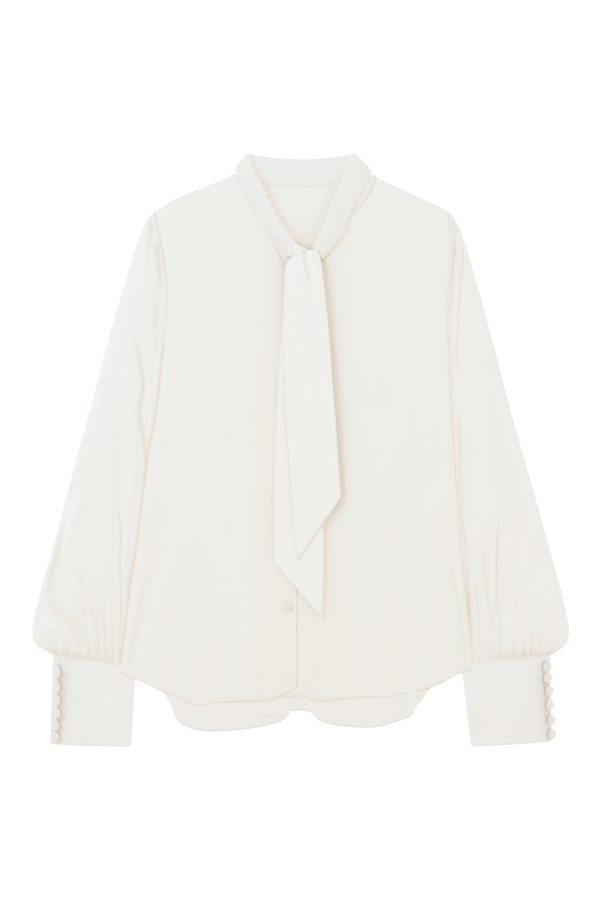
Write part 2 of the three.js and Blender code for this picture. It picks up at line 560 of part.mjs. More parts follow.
function sleeve(stations, folds, sideX) {
  const lengths = [0];
  for (let i = 1; i < stations.length; i += 1) {
    const dx = stations[i].outX + stations[i].inX - stations[i - 1].outX - stations[i - 1].inX;
    const dy = stations[i].outY + stations[i].inY - stations[i - 1].outY - stations[i - 1].inY;
    lengths.push(lengths[i - 1] + Math.hypot(dx, dy) / 2);
  }
  const whole = lengths[lengths.length - 1];
  const rows = stations.map((station, i) => (
    sleeveSection(station, folds, whole - lengths[i], sideX)
  ));
  return wall(rows, CLOTH, true);
}

// Cuffs
// A cuff is one wall that starts at the edge with the loops, runs over the top to the inner fold,
// back along the table, round the outer fold and on under the edge it started from.
function cuffSection(cuff, share) {
  const outer = new THREE.Vector2(
    lerp(cuff.outTop.x, cuff.outEnd.x, share), lerp(cuff.outTop.y, cuff.outEnd.y, share),
  );
  const inner = new THREE.Vector2(
    lerp(cuff.inTop.x, cuff.inEnd.x, share), lerp(cuff.inTop.y, cuff.inEnd.y, share),
  );
  const width = outer.distanceTo(inner);
  const low = CUFF_CLOTH / 2;
  const place = (reach, z) => {
    const onLine = outer.clone().lerp(inner, reach / width);
    return new THREE.Vector3(onLine.x, onLine.y, z);
  };
  const points = [];
  const top = [0, 0.1, 0.3, 0.55, 0.8, 1];
  for (const part of top) {
    const reach = lerp(CUFF_SLIT, width - CUFF_INNER_FOLD, part);
    const lap = CUFF_LAP_LIFT * (1 - smooth(part / 0.55));
    const fold = 2 * lerp(CUFF_OUTER_FOLD, CUFF_INNER_FOLD, part);
    points.push(place(reach, low + fold + lap + CUFF_PUFF * Math.sin(Math.PI * part)));
  }
  for (const angle of FOLD_TURN.map(THREE.MathUtils.degToRad)) {
    const reach = width - CUFF_INNER_FOLD + CUFF_INNER_FOLD * Math.cos(angle);
    points.push(place(reach, low + CUFF_INNER_FOLD + CUFF_INNER_FOLD * Math.sin(angle)));
  }
  for (const part of BOTTOM_SHARES) {
    points.push(place(part * width, low));
  }
  for (const angle of [...FOLD_TURN].reverse().map(THREE.MathUtils.degToRad)) {
    const reach = CUFF_OUTER_FOLD - CUFF_OUTER_FOLD * Math.cos(angle);
    points.push(place(reach, low + CUFF_OUTER_FOLD + CUFF_OUTER_FOLD * Math.sin(angle)));
  }
  for (const reach of [3, CUFF_SLIT - 2, CUFF_SLIT + CUFF_LAP]) {
    points.push(place(reach, low + 2 * CUFF_OUTER_FOLD));
  }
  return points;
}

function cuffWall(cuff) {
  const shares = [0, 0.25, 0.5, 0.75, 1];
  return wall(shares.map((share) => cuffSection(cuff, share)), CUFF_CLOTH);
}

function domedButton({ radius, height, shankRadius }, shankLength) {
  const back = shankRadius
    ? [[0, -shankLength], [shankRadius, -shankLength], [shankRadius, 0]]
    : [[0, 0]];
  const profile = [
    ...back, [radius * BUTTON_BACK, 0], [radius, height * 0.32], [radius * 0.94, height * 0.62],
    [radius * 0.6, height * 0.92], [0, height],
  ];
  const lathe = new THREE.LatheGeometry(profile.map(([r, h]) => new THREE.Vector2(r, h)), 12);
  return lathe.rotateX(Math.PI / 2);
}

// A cuff button leans outwards, with its lower edge and the end of its shank just over the strip.
const CUFF_BUTTON_LIFT = CUFF_BUTTON.radius * BUTTON_BACK * Math.sin(CUFF_BUTTON.tilt);
const SHANK_DIP = CUFF_BUTTON.shankRadius * Math.sin(CUFF_BUTTON.tilt);
const SHANK_LENGTH = (CUFF_BUTTON_LIFT - SHANK_DIP) / Math.cos(CUFF_BUTTON.tilt);

function cuffButton(cuff, number) {
  const share = number / (CUFF_BUTTONS - 1);
  const button = new THREE.Group();
  const x = lerp(cuff.firstButton.x, cuff.lastButton.x, share);
  const y = lerp(cuff.firstButton.y, cuff.lastButton.y, share);
  const stripTop = CUFF_CLOTH + 2 * CUFF_OUTER_FOLD;
  button.position.set(x, y, stripTop + SEAM_GAP + CUFF_BUTTON_LIFT);
  button.rotation.y = cuff.outer * CUFF_BUTTON.tilt;
  return button;
}

// Collar and tie
function collarFront(rows, side) {
  const middle = rows.map((row, i) => {
    const climb = smooth(i / 3);
    return [0, 0.25, 0.6, 1].map((share) => new THREE.Vector3(
      lerp(row.foldX, row.edgeX, share),
      lerp(row.foldY, row.edgeY, share),
      COLLAR_TOP_Z + 0.8 * (1 - climb) + (share === 0 ? -0.5 : 0),
    ));
  });
  const end = rows[rows.length - 1];
  const corner = new THREE.Vector2(end.foldX - end.edgeX, end.foldY - end.edgeY).normalize();
  const outward = new THREE.Vector2(-corner.y, corner.x).multiplyScalar(side);
  const endRow = middle[middle.length - 1];
  const turned = (out, drop) => endRow.map((point, j) => {
    const reach = out > 0 ? out : out * (1 - 0.26 * j);
    return new THREE.Vector3(
      point.x + outward.x * reach, point.y + outward.y * reach, COLLAR_TOP_Z - drop,
    );
  });
  const turn = COLLAR_CORNER_TURN;
  middle.push(turned(turn * 0.87, turn * 0.5));
  middle.push(turned(turn * 0.87, turn * 1.5));
  middle.push(turned(0, turn * 2));
  middle.push(turned(-COLLAR_TUCK, turn * 2));
  return wall(middle, BAND_CLOTH);
}

function collarBack() {
  const middle = COLLAR_BACK.map((row) => [0, 0.2, 0.4, 0.6, 0.8, 1].map((share) => {
    const bend = 4 * share * (1 - share);
    return new THREE.Vector3(lerp(row.left, row.right, share), row.y + row.dip * bend, row.z);
  }));
  return wall(middle, BAND_CLOTH);
}

// The stand continues down each front between the neckline seam and the turned-down collar.
function neckband(collar, side) {
  const seam = FRONT_NECK.filter((point) => point.x * side > PLACKET_EDGE_X * side);
  seam.sort((a, b) => a.y - b.y);
  const neckline = (y) => lookup(seam, 'y', 'x', y) - side * SEAM_GAP * 2;
  const heights = [...seam.map((point) => point.y), NECKBAND_TOP_Y];
  const shown = heights.filter((y) => y > NECKBAND_END_Y && y <= NECKBAND_TOP_Y);
  const rows = shown.sort((a, b) => a - b).map((y) => {
    const foldX = lookup(collar, 'foldY', 'foldX', y) + side * NECKBAND_INSET;
    return [0, 0.5, 1].map((share) => new THREE.Vector3(
      lerp(foldX, neckline(y), share), y, FLAT_BACK_Z + LAYER + COLLAR_STAND_LIFT,
    ));
  });
  return wall(rows, BAND_CLOTH);
}

function tieTail(rows, pleat) {
  const middle = rows.map((row, i) => [0, 0.22, 0.45, 0.58, 0.8, 1].map((share) => {
    const fade = 1 - smooth((i - 2) / 4);
    const fold = Math.abs(share - 0.45) / 0.55;
    const rise = pleat * Math.sin(Math.PI * clamp01(fold)) * fade;
    return new THREE.Vector3(
      lerp(row.leftX, row.rightX, share), lerp(row.leftY, row.rightY, share), row.z + rise,
    );
  }));
  return wall(middle, BAND_CLOTH);
}

// Assembly
const blouse = new THREE.Group();

function add(name, geometry, finish) {
  const mesh = new THREE.Mesh(geometry, finish);
  mesh.name = name;
  blouse.add(mesh);
  return mesh;
}

const leftArmhole = (y) => lookup(BODY_SIDES, 'y', 'left', y) - ARMHOLE_GAP;
const rightArmhole = (y) => lookup(BODY_SIDES, 'y', 'right', y) + ARMHOLE_GAP;

add('back', backPanel(), SHELL_FINISH);
add('front_right', rightFront(), SHELL_FINISH);
add('front_left', leftFront(), SHELL_FINISH);
add('sleeve_right', sleeve(RIGHT_SLEEVE, RIGHT_SLEEVE_FOLDS, leftArmhole), SHELL_FINISH);
add('sleeve_left', sleeve(LEFT_SLEEVE, LEFT_SLEEVE_FOLDS, rightArmhole), SHELL_FINISH);
add('cuff_right', cuffWall(RIGHT_CUFF), TRIM_FINISH);
add('cuff_left', cuffWall(LEFT_CUFF), TRIM_FINISH);
add('collar_back', collarBack(), TRIM_FINISH);
add('collar_right', collarFront(RIGHT_COLLAR, 1), TRIM_FINISH);
add('collar_left', collarFront(LEFT_COLLAR, -1), TRIM_FINISH);
add('neckband_right', neckband(RIGHT_COLLAR, -1), TRIM_FINISH);
add('neckband_left', neckband(LEFT_COLLAR, 1), TRIM_FINISH);
add('tie_rear', tieTail(REAR_TAIL, 0), TRIM_FINISH);
add('tie_front', tieTail(FRONT_TAIL, TAIL_PLEAT), TRIM_FINISH);

for (let number = 0; number < BUTTONS_ON_FRONT; number += 1) {
  const button = add(`button_front_${number + 1}`, domedButton(FRONT_BUTTON), BUTTON_FINISH);
  const y = SHOWN_BUTTON_Y + number * BUTTON_PITCH;
  button.position.set(BUTTON_X, y, rightFrontHeight(BUTTON_X, y) + CLOTH / 2 + SEAM_GAP);
}

for (const [side, cuff] of [['right', RIGHT_CUFF], ['left', LEFT_CUFF]]) {
  for (let number = 0; number < CUFF_BUTTONS; number += 1) {
    const seat = cuffButton(cuff, number);
    const name = `button_cuff_${side}_${number + 1}`;
    const button = new THREE.Mesh(domedButton(CUFF_BUTTON, SHANK_LENGTH), BUTTON_FINISH);
    button.name = name;
    seat.add(button);
    blouse.add(seat);
  }
}

export default blouse;
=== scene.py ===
import math

import bmesh
import bpy
import numpy as np
from mathutils import Matrix, Vector


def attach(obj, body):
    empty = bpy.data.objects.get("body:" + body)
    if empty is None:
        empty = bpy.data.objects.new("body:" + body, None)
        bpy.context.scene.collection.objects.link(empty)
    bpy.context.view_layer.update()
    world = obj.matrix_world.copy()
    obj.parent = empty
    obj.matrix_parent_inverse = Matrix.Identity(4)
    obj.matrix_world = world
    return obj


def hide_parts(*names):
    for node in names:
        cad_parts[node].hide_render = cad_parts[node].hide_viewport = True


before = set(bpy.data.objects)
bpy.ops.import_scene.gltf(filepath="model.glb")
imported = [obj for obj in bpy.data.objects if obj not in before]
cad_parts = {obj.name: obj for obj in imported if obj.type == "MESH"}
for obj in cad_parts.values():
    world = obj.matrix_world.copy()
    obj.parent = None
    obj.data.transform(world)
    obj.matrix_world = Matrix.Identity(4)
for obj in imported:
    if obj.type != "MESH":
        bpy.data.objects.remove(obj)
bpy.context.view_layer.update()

# Tie neck blouse, laid flat face up. Tables and functions are in millimetres, in the frame's own
# axes: +X the wearer's left, +Y the collar, +Z up. MM turns them into metres.
MM = 0.001
BODY = "root"

# Sizes
WALL = 0.5  # crepe, as drawn
CUFF_WALL = 1.1  # interfaced and double
TIE_WALL = 0.6
BACK_Z = 0.6  # middle of the back's wall
LAYER = 1.5  # one panel over another, middle to middle
PLACKET_X = -4.1
PLACKET_WIDTH = 24.2
EDGE_PLATEAU, EDGE_SLOPE = 7.0, 85.0  # widths of the lifted side and of the slope beside it
BUTTON_PLACE = (-16.2, -188.4)
BUTTON_RADIUS = 5.6

# height, left side, right side, lift of the edge over the sleeve
BODY_SIDES = [
    (-262, -217.2, 206.2, 3.4), (-230, -212.8, 203.6, 3.2), (-180, -206.5, 198, 3.1),
    (-120, -197.6, 192.2, 3), (-60, -190, 187.2, 3), (0, -181.3, 183.4, 3), (60, -171.8, 180, 2.8),
    (110, -166.8, 177.9, 2), (122, -165, 177.2, 1.6), (146, -161.4, 175.8, 0.8),
    (180, -160.8, 175.8, 0.2), (200, -161.2, 176.8, 0), (226, -164, 178.4, 0),
    (252, -168.2, 179.6, 0), (286.5, -175.2, 176.4, 0),
]
BACK_HEM = [
    (-217.4, -266), (-200, -273), (-180, -281.5), (-166, -290.5), (-156, -306.6), (-151.2, -320.4),
    (-142.2, -329.4), (-127, -335.4), (-109, -337.8), (-82.8, -336.6), (-52.8, -333),
    (-37, -329.4), (-22, -324.6), (-17.3, -319.6), (-14, -313.4), (2, -312.6), (11.5, -314.4),
    (19.8, -323.2), (25.8, -326.4), (54, -331.8), (76.8, -333), (92, -332.4), (107, -328.2),
    (129.6, -320.4), (135.6, -315), (139, -306), (146, -298.6), (155, -286.6), (167, -280.4),
    (182, -272), (194, -266), (206.2, -261),
]
RIGHT_FRONT_HEM = [
    (-217.4, -267), (-200, -274), (-180, -282.5), (-166, -290), (-150, -294.3), (-142, -300.2),
    (-133, -304.6), (-120, -306.1), (-97, -302.6), (-67, -301.8), (-44, -300.6), (-31, -297),
    (-20, -292.6), (-7.2, -285), (PLACKET_X, -280.2),
]
LEFT_FRONT_HEM = [
    (-28.3, -296.4), (2, -294.6), (9.4, -298.6), (20, -300.6), (32, -301.2), (47, -299.4),
    (71, -296.8), (107, -295.8), (122, -292.2), (155, -285.4), (167, -279.8), (182, -271.6),
    (194, -265.6), (206.2, -262),
]
LEFT_SHOULDER = [
    (-175.2, 286.5), (-153, 300.8), (-118, 315.4), (-85, 329.4), (-80, 332.4),
]
RIGHT_SHOULDER = [
    (85, 330.6), (101, 322.4), (133, 308), (164, 293.6), (176.4, 286.5),
]
BACK_NECK = [
    (-62, 327), (-40, 324.6), (-4.2, 322.6), (45, 324.6), (66, 327),
]
FRONT_NECK = [
    (-64.4, 300.6), (-49.4, 276.4), (-35.8, 253.6), (-17.8, 221), (PLACKET_X, 212), (10, 214),
    (26.4, 228), (38.2, 243), (54.8, 276.4), (65.2, 286.6), (80.4, 306.4),
]

# Sleeve stations from armhole to cuff: outer fold x, y, inner fold x, y, radius of the outer
# fold, crown between the folds, share of the armhole's curve
RIGHT_SLEEVE = [
    (-175.6, 287.2, -161.6, 148.4, 1, 0.6, 1), (-182, 282.4, -162.6, 141, 1.3, 2.2, 0.8),
    (-190, 268.6, -163.6, 133, 1.6, 3.6, 0.5), (-198, 247.6, -164.4, 125.6, 1.9, 4.8, 0.25),
    (-208.6, 212, -160, 110, 2.2, 5.6, 0), (-221, 169.4, -158, 80, 2.4, 6.2, 0),
    (-238, 107.6, -163.4, 36, 2.6, 6.6, 0), (-255, 43, -171, -14, 2.8, 6.8, 0),
    (-273, -22, -179.4, -64, 3, 7, 0), (-290, -87, -188, -116, 3.2, 7.4, 0),
    (-302, -130.4, -194, -156, 3.6, 8.2, 0), (-312, -166.6, -198.6, -190, 4.2, 9, 0),
    (-319.6, -197, -202, -216, 4.8, 9.6, 0), (-322.8, -219, -204, -234, 5.2, 9.2, 0),
    (-317.4, -233.2, -204.6, -247, 4.8, 7.4, 0), (-306.4, -239.8, -203, -256, 3.8, 4.4, 0),
    (-297.6, -244.6, -200, -264.2, 2.6, 1.6, 0),
]
LEFT_SLEEVE = [
    (176.8, 287.2, 176, 148.4, 1, 0.6, 1), (182, 282, 176.4, 141, 1.3, 2.2, 0.8),
    (189, 267.6, 176.8, 133, 1.6, 3.6, 0.5), (196.6, 247.6, 177.4, 125.6, 1.9, 4.8, 0.25),
    (207.6, 211.8, 172, 110, 2.2, 5.6, 0), (219.6, 170, 168.4, 80, 2.4, 6.2, 0),
    (236.4, 107, 170, 36, 2.6, 6.6, 0), (253, 43, 173.4, -14, 2.8, 6.8, 0),
    (271.6, -22, 177, -64, 3, 7, 0), (289.8, -87, 181.4, -116, 3.2, 7.4, 0),
    (301.8, -130.4, 185, -156, 3.6, 8.2, 0), (311.6, -166.6, 188, -190, 4.2, 9, 0),
    (318.8, -197, 190.6, -214, 4.8, 9.6, 0), (321.8, -219, 192, -230, 5.2, 9.2, 0),
    (317.4, -233.2, 193, -242, 4.8, 7.4, 0), (308, -240.8, 193.6, -251, 3.8, 4.4, 0),
    (299, -245.8, 193.6, -258.4, 2.6, 1.6, 0),
]

# Folds: lift (a trough where negative), width on the left and right of the path, lengths over
# which it fades in and out, and the path that it follows
RIGHT_SLEEVE_FOLDS = [
    (-4, 3.2, 2.2, 30, 30, [(-201, 146), (-199, 134), (-192, 106), (-188.6, 76), (-193, 46),
        (-190, 24.6), (-186, -2), (-186, -26), (-190, -60)]),
    (1.8, 6, 6, 40, 30, [(-209, 120), (-204, 80), (-204, 40), (-201, 0), (-202, -40),
        (-204, -80)]),
    (1.6, 4, 3.4, 20, 20, [(-182, 78), (-181, 40), (-180, 16)]),
    (-2.6, 2, 1.7, 30, 10, [(-199, -120), (-204, -150), (-208, -183), (-213, -220), (-217, -262)]),
    (1.4, 8, 7, 60, 60, [(-205, -60), (-207, -100), (-210, -140), (-213, -200)]),
    (-3, 2.2, 1.8, 50, 10, [(-217, -44), (-218, -75), (-215, -95), (-216, -116), (-217, -134),
        (-216, -153), (-215, -183), (-216, -213), (-219, -258)]),
    (2.8, 7, 4.6, 50, 14, [(-258, -20), (-261, -44), (-268, -68), (-277, -95), (-282, -119),
        (-279, -146), (-270, -161), (-259, -176), (-253, -194), (-252, -215), (-252, -246)]),
    (-3.6, 8.5, 5, 60, 16, [(-283, -66), (-289, -98), (-294, -134), (-300, -159), (-300, -179),
        (-289, -197), (-271, -211), (-264, -227), (-262, -246)]),
    (-2.4, 2.2, 1.8, 24, 6, [(-282, -176), (-266, -186), (-258, -196), (-254, -212), (-253, -232),
        (-255, -252)]),
    (-2.6, 3, 2, 40, 6, [(-268, -122), (-266, -140), (-259, -168), (-250, -188), (-243, -212),
        (-242, -256)]),
    (1.6, 4.4, 3, 30, 12, [(-262, -120), (-257, -143), (-250, -167), (-244, -187), (-238, -210),
        (-238, -250)]),
    (-2.6, 2, 1.7, 24, 6, [(-244, -176), (-236, -198), (-234, -218), (-233, -256)]),
    (-2.2, 1.8, 1.7, 20, 6, [(-226, -216), (-226, -236), (-226, -258)]),
    (1.4, 3, 2.6, 30, 10, [(-229, -160), (-229, -190), (-229, -254)]),
    (0.9, 10, 9, 80, 60, [(-236, 60), (-233, 37), (-233, -23), (-233, -104), (-234, -140)]),
    (-1.1, 9, 8, 60, 50, [(-222, 66), (-219, 20), (-219, -30), (-222, -80), (-226, -120)]),
    (-0.9, 13, 11, 60, 60, [(-246, 60), (-250, 0), (-254, -60), (-262, -110)]),
    (0.9, 11, 10, 50, 60, [(-226, 150), (-240, 100), (-254, 40), (-266, -10)]),
    (-2.2, 2.2, 2, 20, 30, [(-176, 284), (-179, 262), (-181, 240), (-180, 216)]),
    (-3, 2.2, 1.8, 20, 20, [(-171, 256), (-170, 230), (-168.6, 206), (-166, 184)]),
    (-1.8, 2.6, 2.2, 20, 24, [(-168, 190), (-172, 165), (-174, 148), (-171, 126), (-168, 106)]),
    (1.5, 4, 4, 30, 60, [(-184, 272), (-187, 236), (-190, 200), (-193, 160)]),
    (1.3, 5, 4, 20, 50, [(-175, 240), (-176, 200), (-181, 160), (-184, 120)]),
    (2, 3.6, 3, 12, 8, [(-304, -206), (-292, -220), (-281, -242)]),
    (-2.2, 2.6, 2.4, 10, 6, [(-296, -208), (-286, -222), (-277, -246)]),
    (1.6, 2.6, 2.4, 10, 6, [(-288, -206), (-277, -222), (-268, -248)]),
    (-2, 2.4, 2.2, 12, 6, [(-312, -218), (-300, -230), (-289, -248)]),
    (1.4, 3.4, 3, 14, 12, [(-316, -200), (-306, -210), (-296, -214)]),
    (-1.4, 2, 2, 10, 8, [(-308, -224), (-300, -219), (-292, -216)]),
]
LEFT_SLEEVE_FOLDS = [
    (-3.6, 2, 2.2, 12, 30, [(181, 276), (183.4, 268), (185.6, 250), (183.6, 216.6), (179.4, 174.6),
        (176.6, 153.6), (178.6, 124), (181, 60)]),
    (-2.6, 1.8, 2, 20, 60, [(191, 266), (194.4, 240.6), (193.4, 210.6), (188.8, 150.6),
        (187.4, 120.6), (190.8, 60.6)]),
    (-2, 1.8, 2, 20, 20, [(177, 236), (178, 214), (178, 190)]),
    (1.6, 3, 3, 20, 40, [(188, 262), (189.6, 240), (188, 210), (184, 176), (182, 140)]),
    (1.4, 5, 6, 30, 50, [(202, 240), (204, 190), (202, 140), (202, 90)]),
    (-3, 1.8, 2.2, 30, 30, [(187, 60), (189.8, 30.6), (191, -29.4), (193.4, -73.8), (198, -119.4),
        (201.6, -179.4), (206, -215)]),
    (1.6, 3, 3.4, 40, 40, [(194, 60), (196, 0), (196, -44), (198, -80), (203, -120), (207, -180)]),
    (-0.9, 3, 4, 50, 40, [(211, 60), (209, 37), (205, 5), (200, -44), (199, -80)]),
    (-2.6, 1.8, 2, 30, 8, [(199, -150), (203, -200), (209, -256)]),
    (-3.2, 2.2, 2.4, 60, 8, [(237, -50), (237, -83), (235, -123), (234.4, -160), (236, -190),
        (237.4, -215), (239, -254)]),
    (1.6, 5, 5, 60, 10, [(227, -40), (227, -90), (228, -130), (229, -170), (234, -200),
        (236, -250)]),
    (-2.4, 2.2, 2.2, 40, 8, [(216, -90), (218, -116), (222, -155), (225.6, -188), (231.4, -218),
        (231.6, -252)]),
    (1.5, 3.6, 3.4, 40, 10, [(210, -80), (211, -120), (215, -164), (220, -210), (225, -250)]),
    (-2, 2, 2, 26, 8, [(207, -140), (212, -190), (215, -222), (215, -252)]),
    (-1.8, 7, 4.5, 40, 20, [(270, -66), (264, -92), (259, -118), (252, -153), (247, -182),
        (244, -212)]),
    (1.4, 6, 12, 40, 14, [(290, -66), (279, -90), (273, -117), (264, -153), (258, -186),
        (255, -210), (254, -246)]),
    (-2, 2.6, 2, 26, 10, [(263, -166), (257, -190), (252, -214), (252, -236)]),
    (-1.3, 4, 4, 26, 20, [(270, -176), (269, -200), (268, -220)]),
    (-2.8, 1.9, 1.9, 12, 4, [(255, -222), (255, -252)]),
    (-2.6, 1.9, 1.9, 12, 4, [(266, -228), (267, -252)]),
    (-2.6, 1.9, 1.9, 18, 4, [(277, -212), (276, -230), (275, -252)]),
    (0.9, 8, 8, 60, 60, [(216, 90), (218, 40), (222, -10), (226, -40)]),
    (-1, 8, 8, 70, 50, [(226, 100), (230, 50), (234, 0), (237, -30)]),
    (1, 12, 10, 60, 60, [(232, 110), (246, 50), (258, 0), (268, -40)]),
    (1.6, 5, 5, 14, 10, [(312, -208), (300, -222), (290, -240)]),
    (-1.6, 4, 4, 14, 8, [(304, -202), (292, -220), (284, -242)]),
]
BODY_FOLDS = [
    (1.3, 4.4, 4.2, 60, 20, [(-180, -30), (-184, -63), (-188, -118), (-195, -166), (-203, -213),
        (-212, -262)]),
    (-2.6, 3.4, 3.6, 80, 10, [(-160, -50), (-167, -90), (-175, -134), (-187, -180), (-198, -225),
        (-206, -262)]),
    (1.1, 6, 7, 70, 30, [(-146, -90), (-156, -130), (-169, -180), (-182, -225), (-192, -268)]),
    (-3, 2.6, 2.4, 110, 8, [(164, -40), (168, -60), (174, -119), (183.2, -164), (192, -209),
        (198, -256)]),
    (1.1, 6, 5, 80, 20, [(150, -80), (160, -130), (168, -170), (178, -210), (187, -250)]),
    (0.9, 3.4, 3.4, 60, 20, [(178, -60), (184, -120), (191, -180), (198, -235), (203, -262)]),
    (-0.7, 9, 9, 60, 60, [(-146, 150), (-143, 90), (-140, 30), (-146, -30)]),
    (0.6, 14, 14, 80, 80, [(-118, 120), (-112, 40), (-110, -40), (-114, -120)]),
    (-0.5, 16, 16, 80, 80, [(-84, 80), (-80, 0), (-82, -80), (-90, -160)]),
    (0.5, 16, 16, 80, 80, [(96, 80), (92, 0), (88, -80), (90, -160)]),
    (-0.6, 12, 12, 60, 60, [(130, 90), (133, 30), (136, -30), (140, -100)]),
    (0.6, 8, 8, 60, 60, [(150, 60), (153, 0), (154, -60)]),
    (-0.6, 9, 9, 30, 50, [(120, 296), (132, 250), (146, 200), (150, 160)]),
    (0.5, 9, 9, 30, 50, [(140, 296), (150, 250), (160, 200)]),
    (-0.5, 2.4, 2.4, 6, 26, [(-88, 326), (-92, 312), (-95, 296)]),
    (-0.5, 2.4, 2.4, 6, 26, [(-100, 321), (-103, 308), (-105, 294)]),
    (-0.5, 2.4, 2.4, 6, 26, [(97, 322), (99, 308), (100, 294)]),
    (-0.5, 2.4, 2.4, 6, 26, [(110, 317), (112, 304), (113, 290)]),
]
CURL_FOLDS = [
    (0.9, 3, 2.6, 8, 4, [(-30, -276), (-24, -282), (-20, -294)]),
    (-0.8, 2.2, 2, 8, 4, [(-24, -272), (-18, -280), (-14, -290)]),
    (0.9, 3.4, 2.6, 8, 4, [(-20, -268), (-12, -276), (-5, -284)]),
]
HEM_FLUTES = [
    (-0.5, 10, 10, 60, 4, [(-152, -210), (-158, -250), (-160, -292)]),
    (1, 11, 12, 70, 6, [(-128, -200), (-133, -250), (-138, -300)]),
    (-0.7, 10, 10, 70, 6, [(-104, -200), (-109, -250), (-113, -306)]),
    (1.2, 13, 12, 70, 6, [(-66, -190), (-72, -250), (-76, -302)]),
    (-0.5, 9, 9, 50, 6, [(-44, -220), (-44, -260), (-42, -300)]),
    (-0.6, 9, 9, 60, 6, [(18, -210), (13, -250), (9, -298)]),
    (1.3, 12, 12, 70, 6, [(48, -200), (44, -250), (40, -300)]),
    (-0.6, 12, 12, 60, 6, [(84, -210), (82, -250), (80, -297)]),
    (-0.8, 10, 10, 60, 6, [(124, -200), (116, -250), (112, -295)]),
    (1.3, 10, 12, 70, 6, [(152, -200), (150, -240), (150, -286)]),
]

# Cuff corners: outer top, inner top, outer end, inner end, side that the buttons are on
RIGHT_CUFF = ((-297.7, -244.8), (-199.2, -264.8), (-301, -352.2), (-204.4, -355.6), -1)
LEFT_CUFF = ((298.9, -246.2), (193.2, -259), (300.6, -348.8), (204, -355.6), 1)
RIGHT_SLIT, LEFT_SLIT = (10.6, 10.2), (10.4, 5.6)  # from the outer fold, at the top and the end
# x, y, radius and tilt in degrees of each cuff button
RIGHT_CUFF_BUTTONS = [
    (-292.1, -265.7, 7.5, 54), (-292.5, -283.2, 7.4, 52), (-292.7, -299.7, 7.2, 50),
    (-292.8, -315.4, 6.9, 46), (-294.6, -329.6, 6.4, 36), (-294.8, -343.2, 6, 26),
]
LEFT_CUFF_BUTTONS = [
    (294.6, -259.2, 6.2, 42), (295.6, -272.7, 6.8, 46), (297.4, -287.9, 7.4, 56),
    (298.2, -304.9, 7.5, 58), (299.8, -323, 7, 58), (300.4, -340, 6.6, 57),
]
CUFF_OUTER_FOLD, CUFF_INNER_FOLD = 1.9, 1.5  # radii
CUFF_LENGTH = 100
CUFF_LAP = 8.0  # how far the strip with the buttons reaches under the slit
CUFF_LAP_LIFT = 0.9
CUFF_CORNER = 3.4
CUFF_MIDDLE = 0.8  # level of the lower layer
CUFF_EDGE_END, CUFF_TOP_END, CUFF_UNDER_END = 0.012, 0.472, 0.90  # shares of the grid
LOOP_PITCH = 16.2  # between the loops along a cuff
RIGHT_CUFF_FOLDS = [
    (-0.7, 7, 5, 20, 20, [(-250, -262), (-262, -284), (-280, -322)]),
    (0.5, 8, 8, 20, 20, [(-240, -270), (-254, -300), (-268, -336)]),
    (-0.6, 8, 7, 24, 24, [(-224, -272), (-240, -300), (-260, -340)]),
    (0.4, 9, 9, 24, 24, [(-210, -286), (-226, -316), (-240, -346)]),
]
LEFT_CUFF_FOLDS = [
    (-0.4, 10, 10, 20, 20, [(226, -262), (232, -300), (240, -344)]),
    (0.3, 10, 10, 20, 20, [(252, -262), (256, -300), (262, -344)]),
    (-0.4, 7, 7, 14, 20, [(282, -258), (280, -290), (278, -330)]),
]

# Turned-down collar: its fold, its outer edge, from the knot to the corner of the neck
RIGHT_COLLAR = [
    (-6.4, 246.4, -15, 233.4), (-8.2, 252.6, -21, 244), (-15.2, 261.4, -31.4, 255.4),
    (-26, 278, -40.8, 271.2), (-36, 297, -51.8, 289.4), (-47.6, 321.6, -64.8, 310),
    (-57.6, 342.4, -74.2, 326.4), (-62.4, 358.6, -80, 339.6),
]
LEFT_COLLAR = [
    (14.6, 244.4, 25.6, 229.6), (16, 249, 31.4, 236.4), (20.6, 257, 40, 247.6),
    (29, 276, 50.6, 262.6), (36.6, 296, 58.8, 284.8), (46.6, 320, 69.6, 303.2),
    (56, 344, 80, 324.4), (62.6, 358.8, 85.6, 335.8),
]
# Standing part behind the neck and its fold: height, dip in the middle, level, left, right
COLLAR_BACK = [
    (320.4, -3, 1.1, -50, 50), (322.6, -3, 1.6, -50.4, 50.2), (326, -3, 2.1, -51, 50.8),
    (331, -2.6, 2.8, -53, 53), (338, -2.6, 3.3, -57, 56.6), (346, -3.8, 3.6, -61.5, 60.8),
    (353.6, -5.6, 3.5, -63.6, 63.2), (356.4, -6.6, 2.4, -63, 62.6), (355, -6.4, 1.2, -60, 59.6),
    (345, -3.6, 0.8, -52, 51), (330, -2.4, 0.7, -48, 47),
]

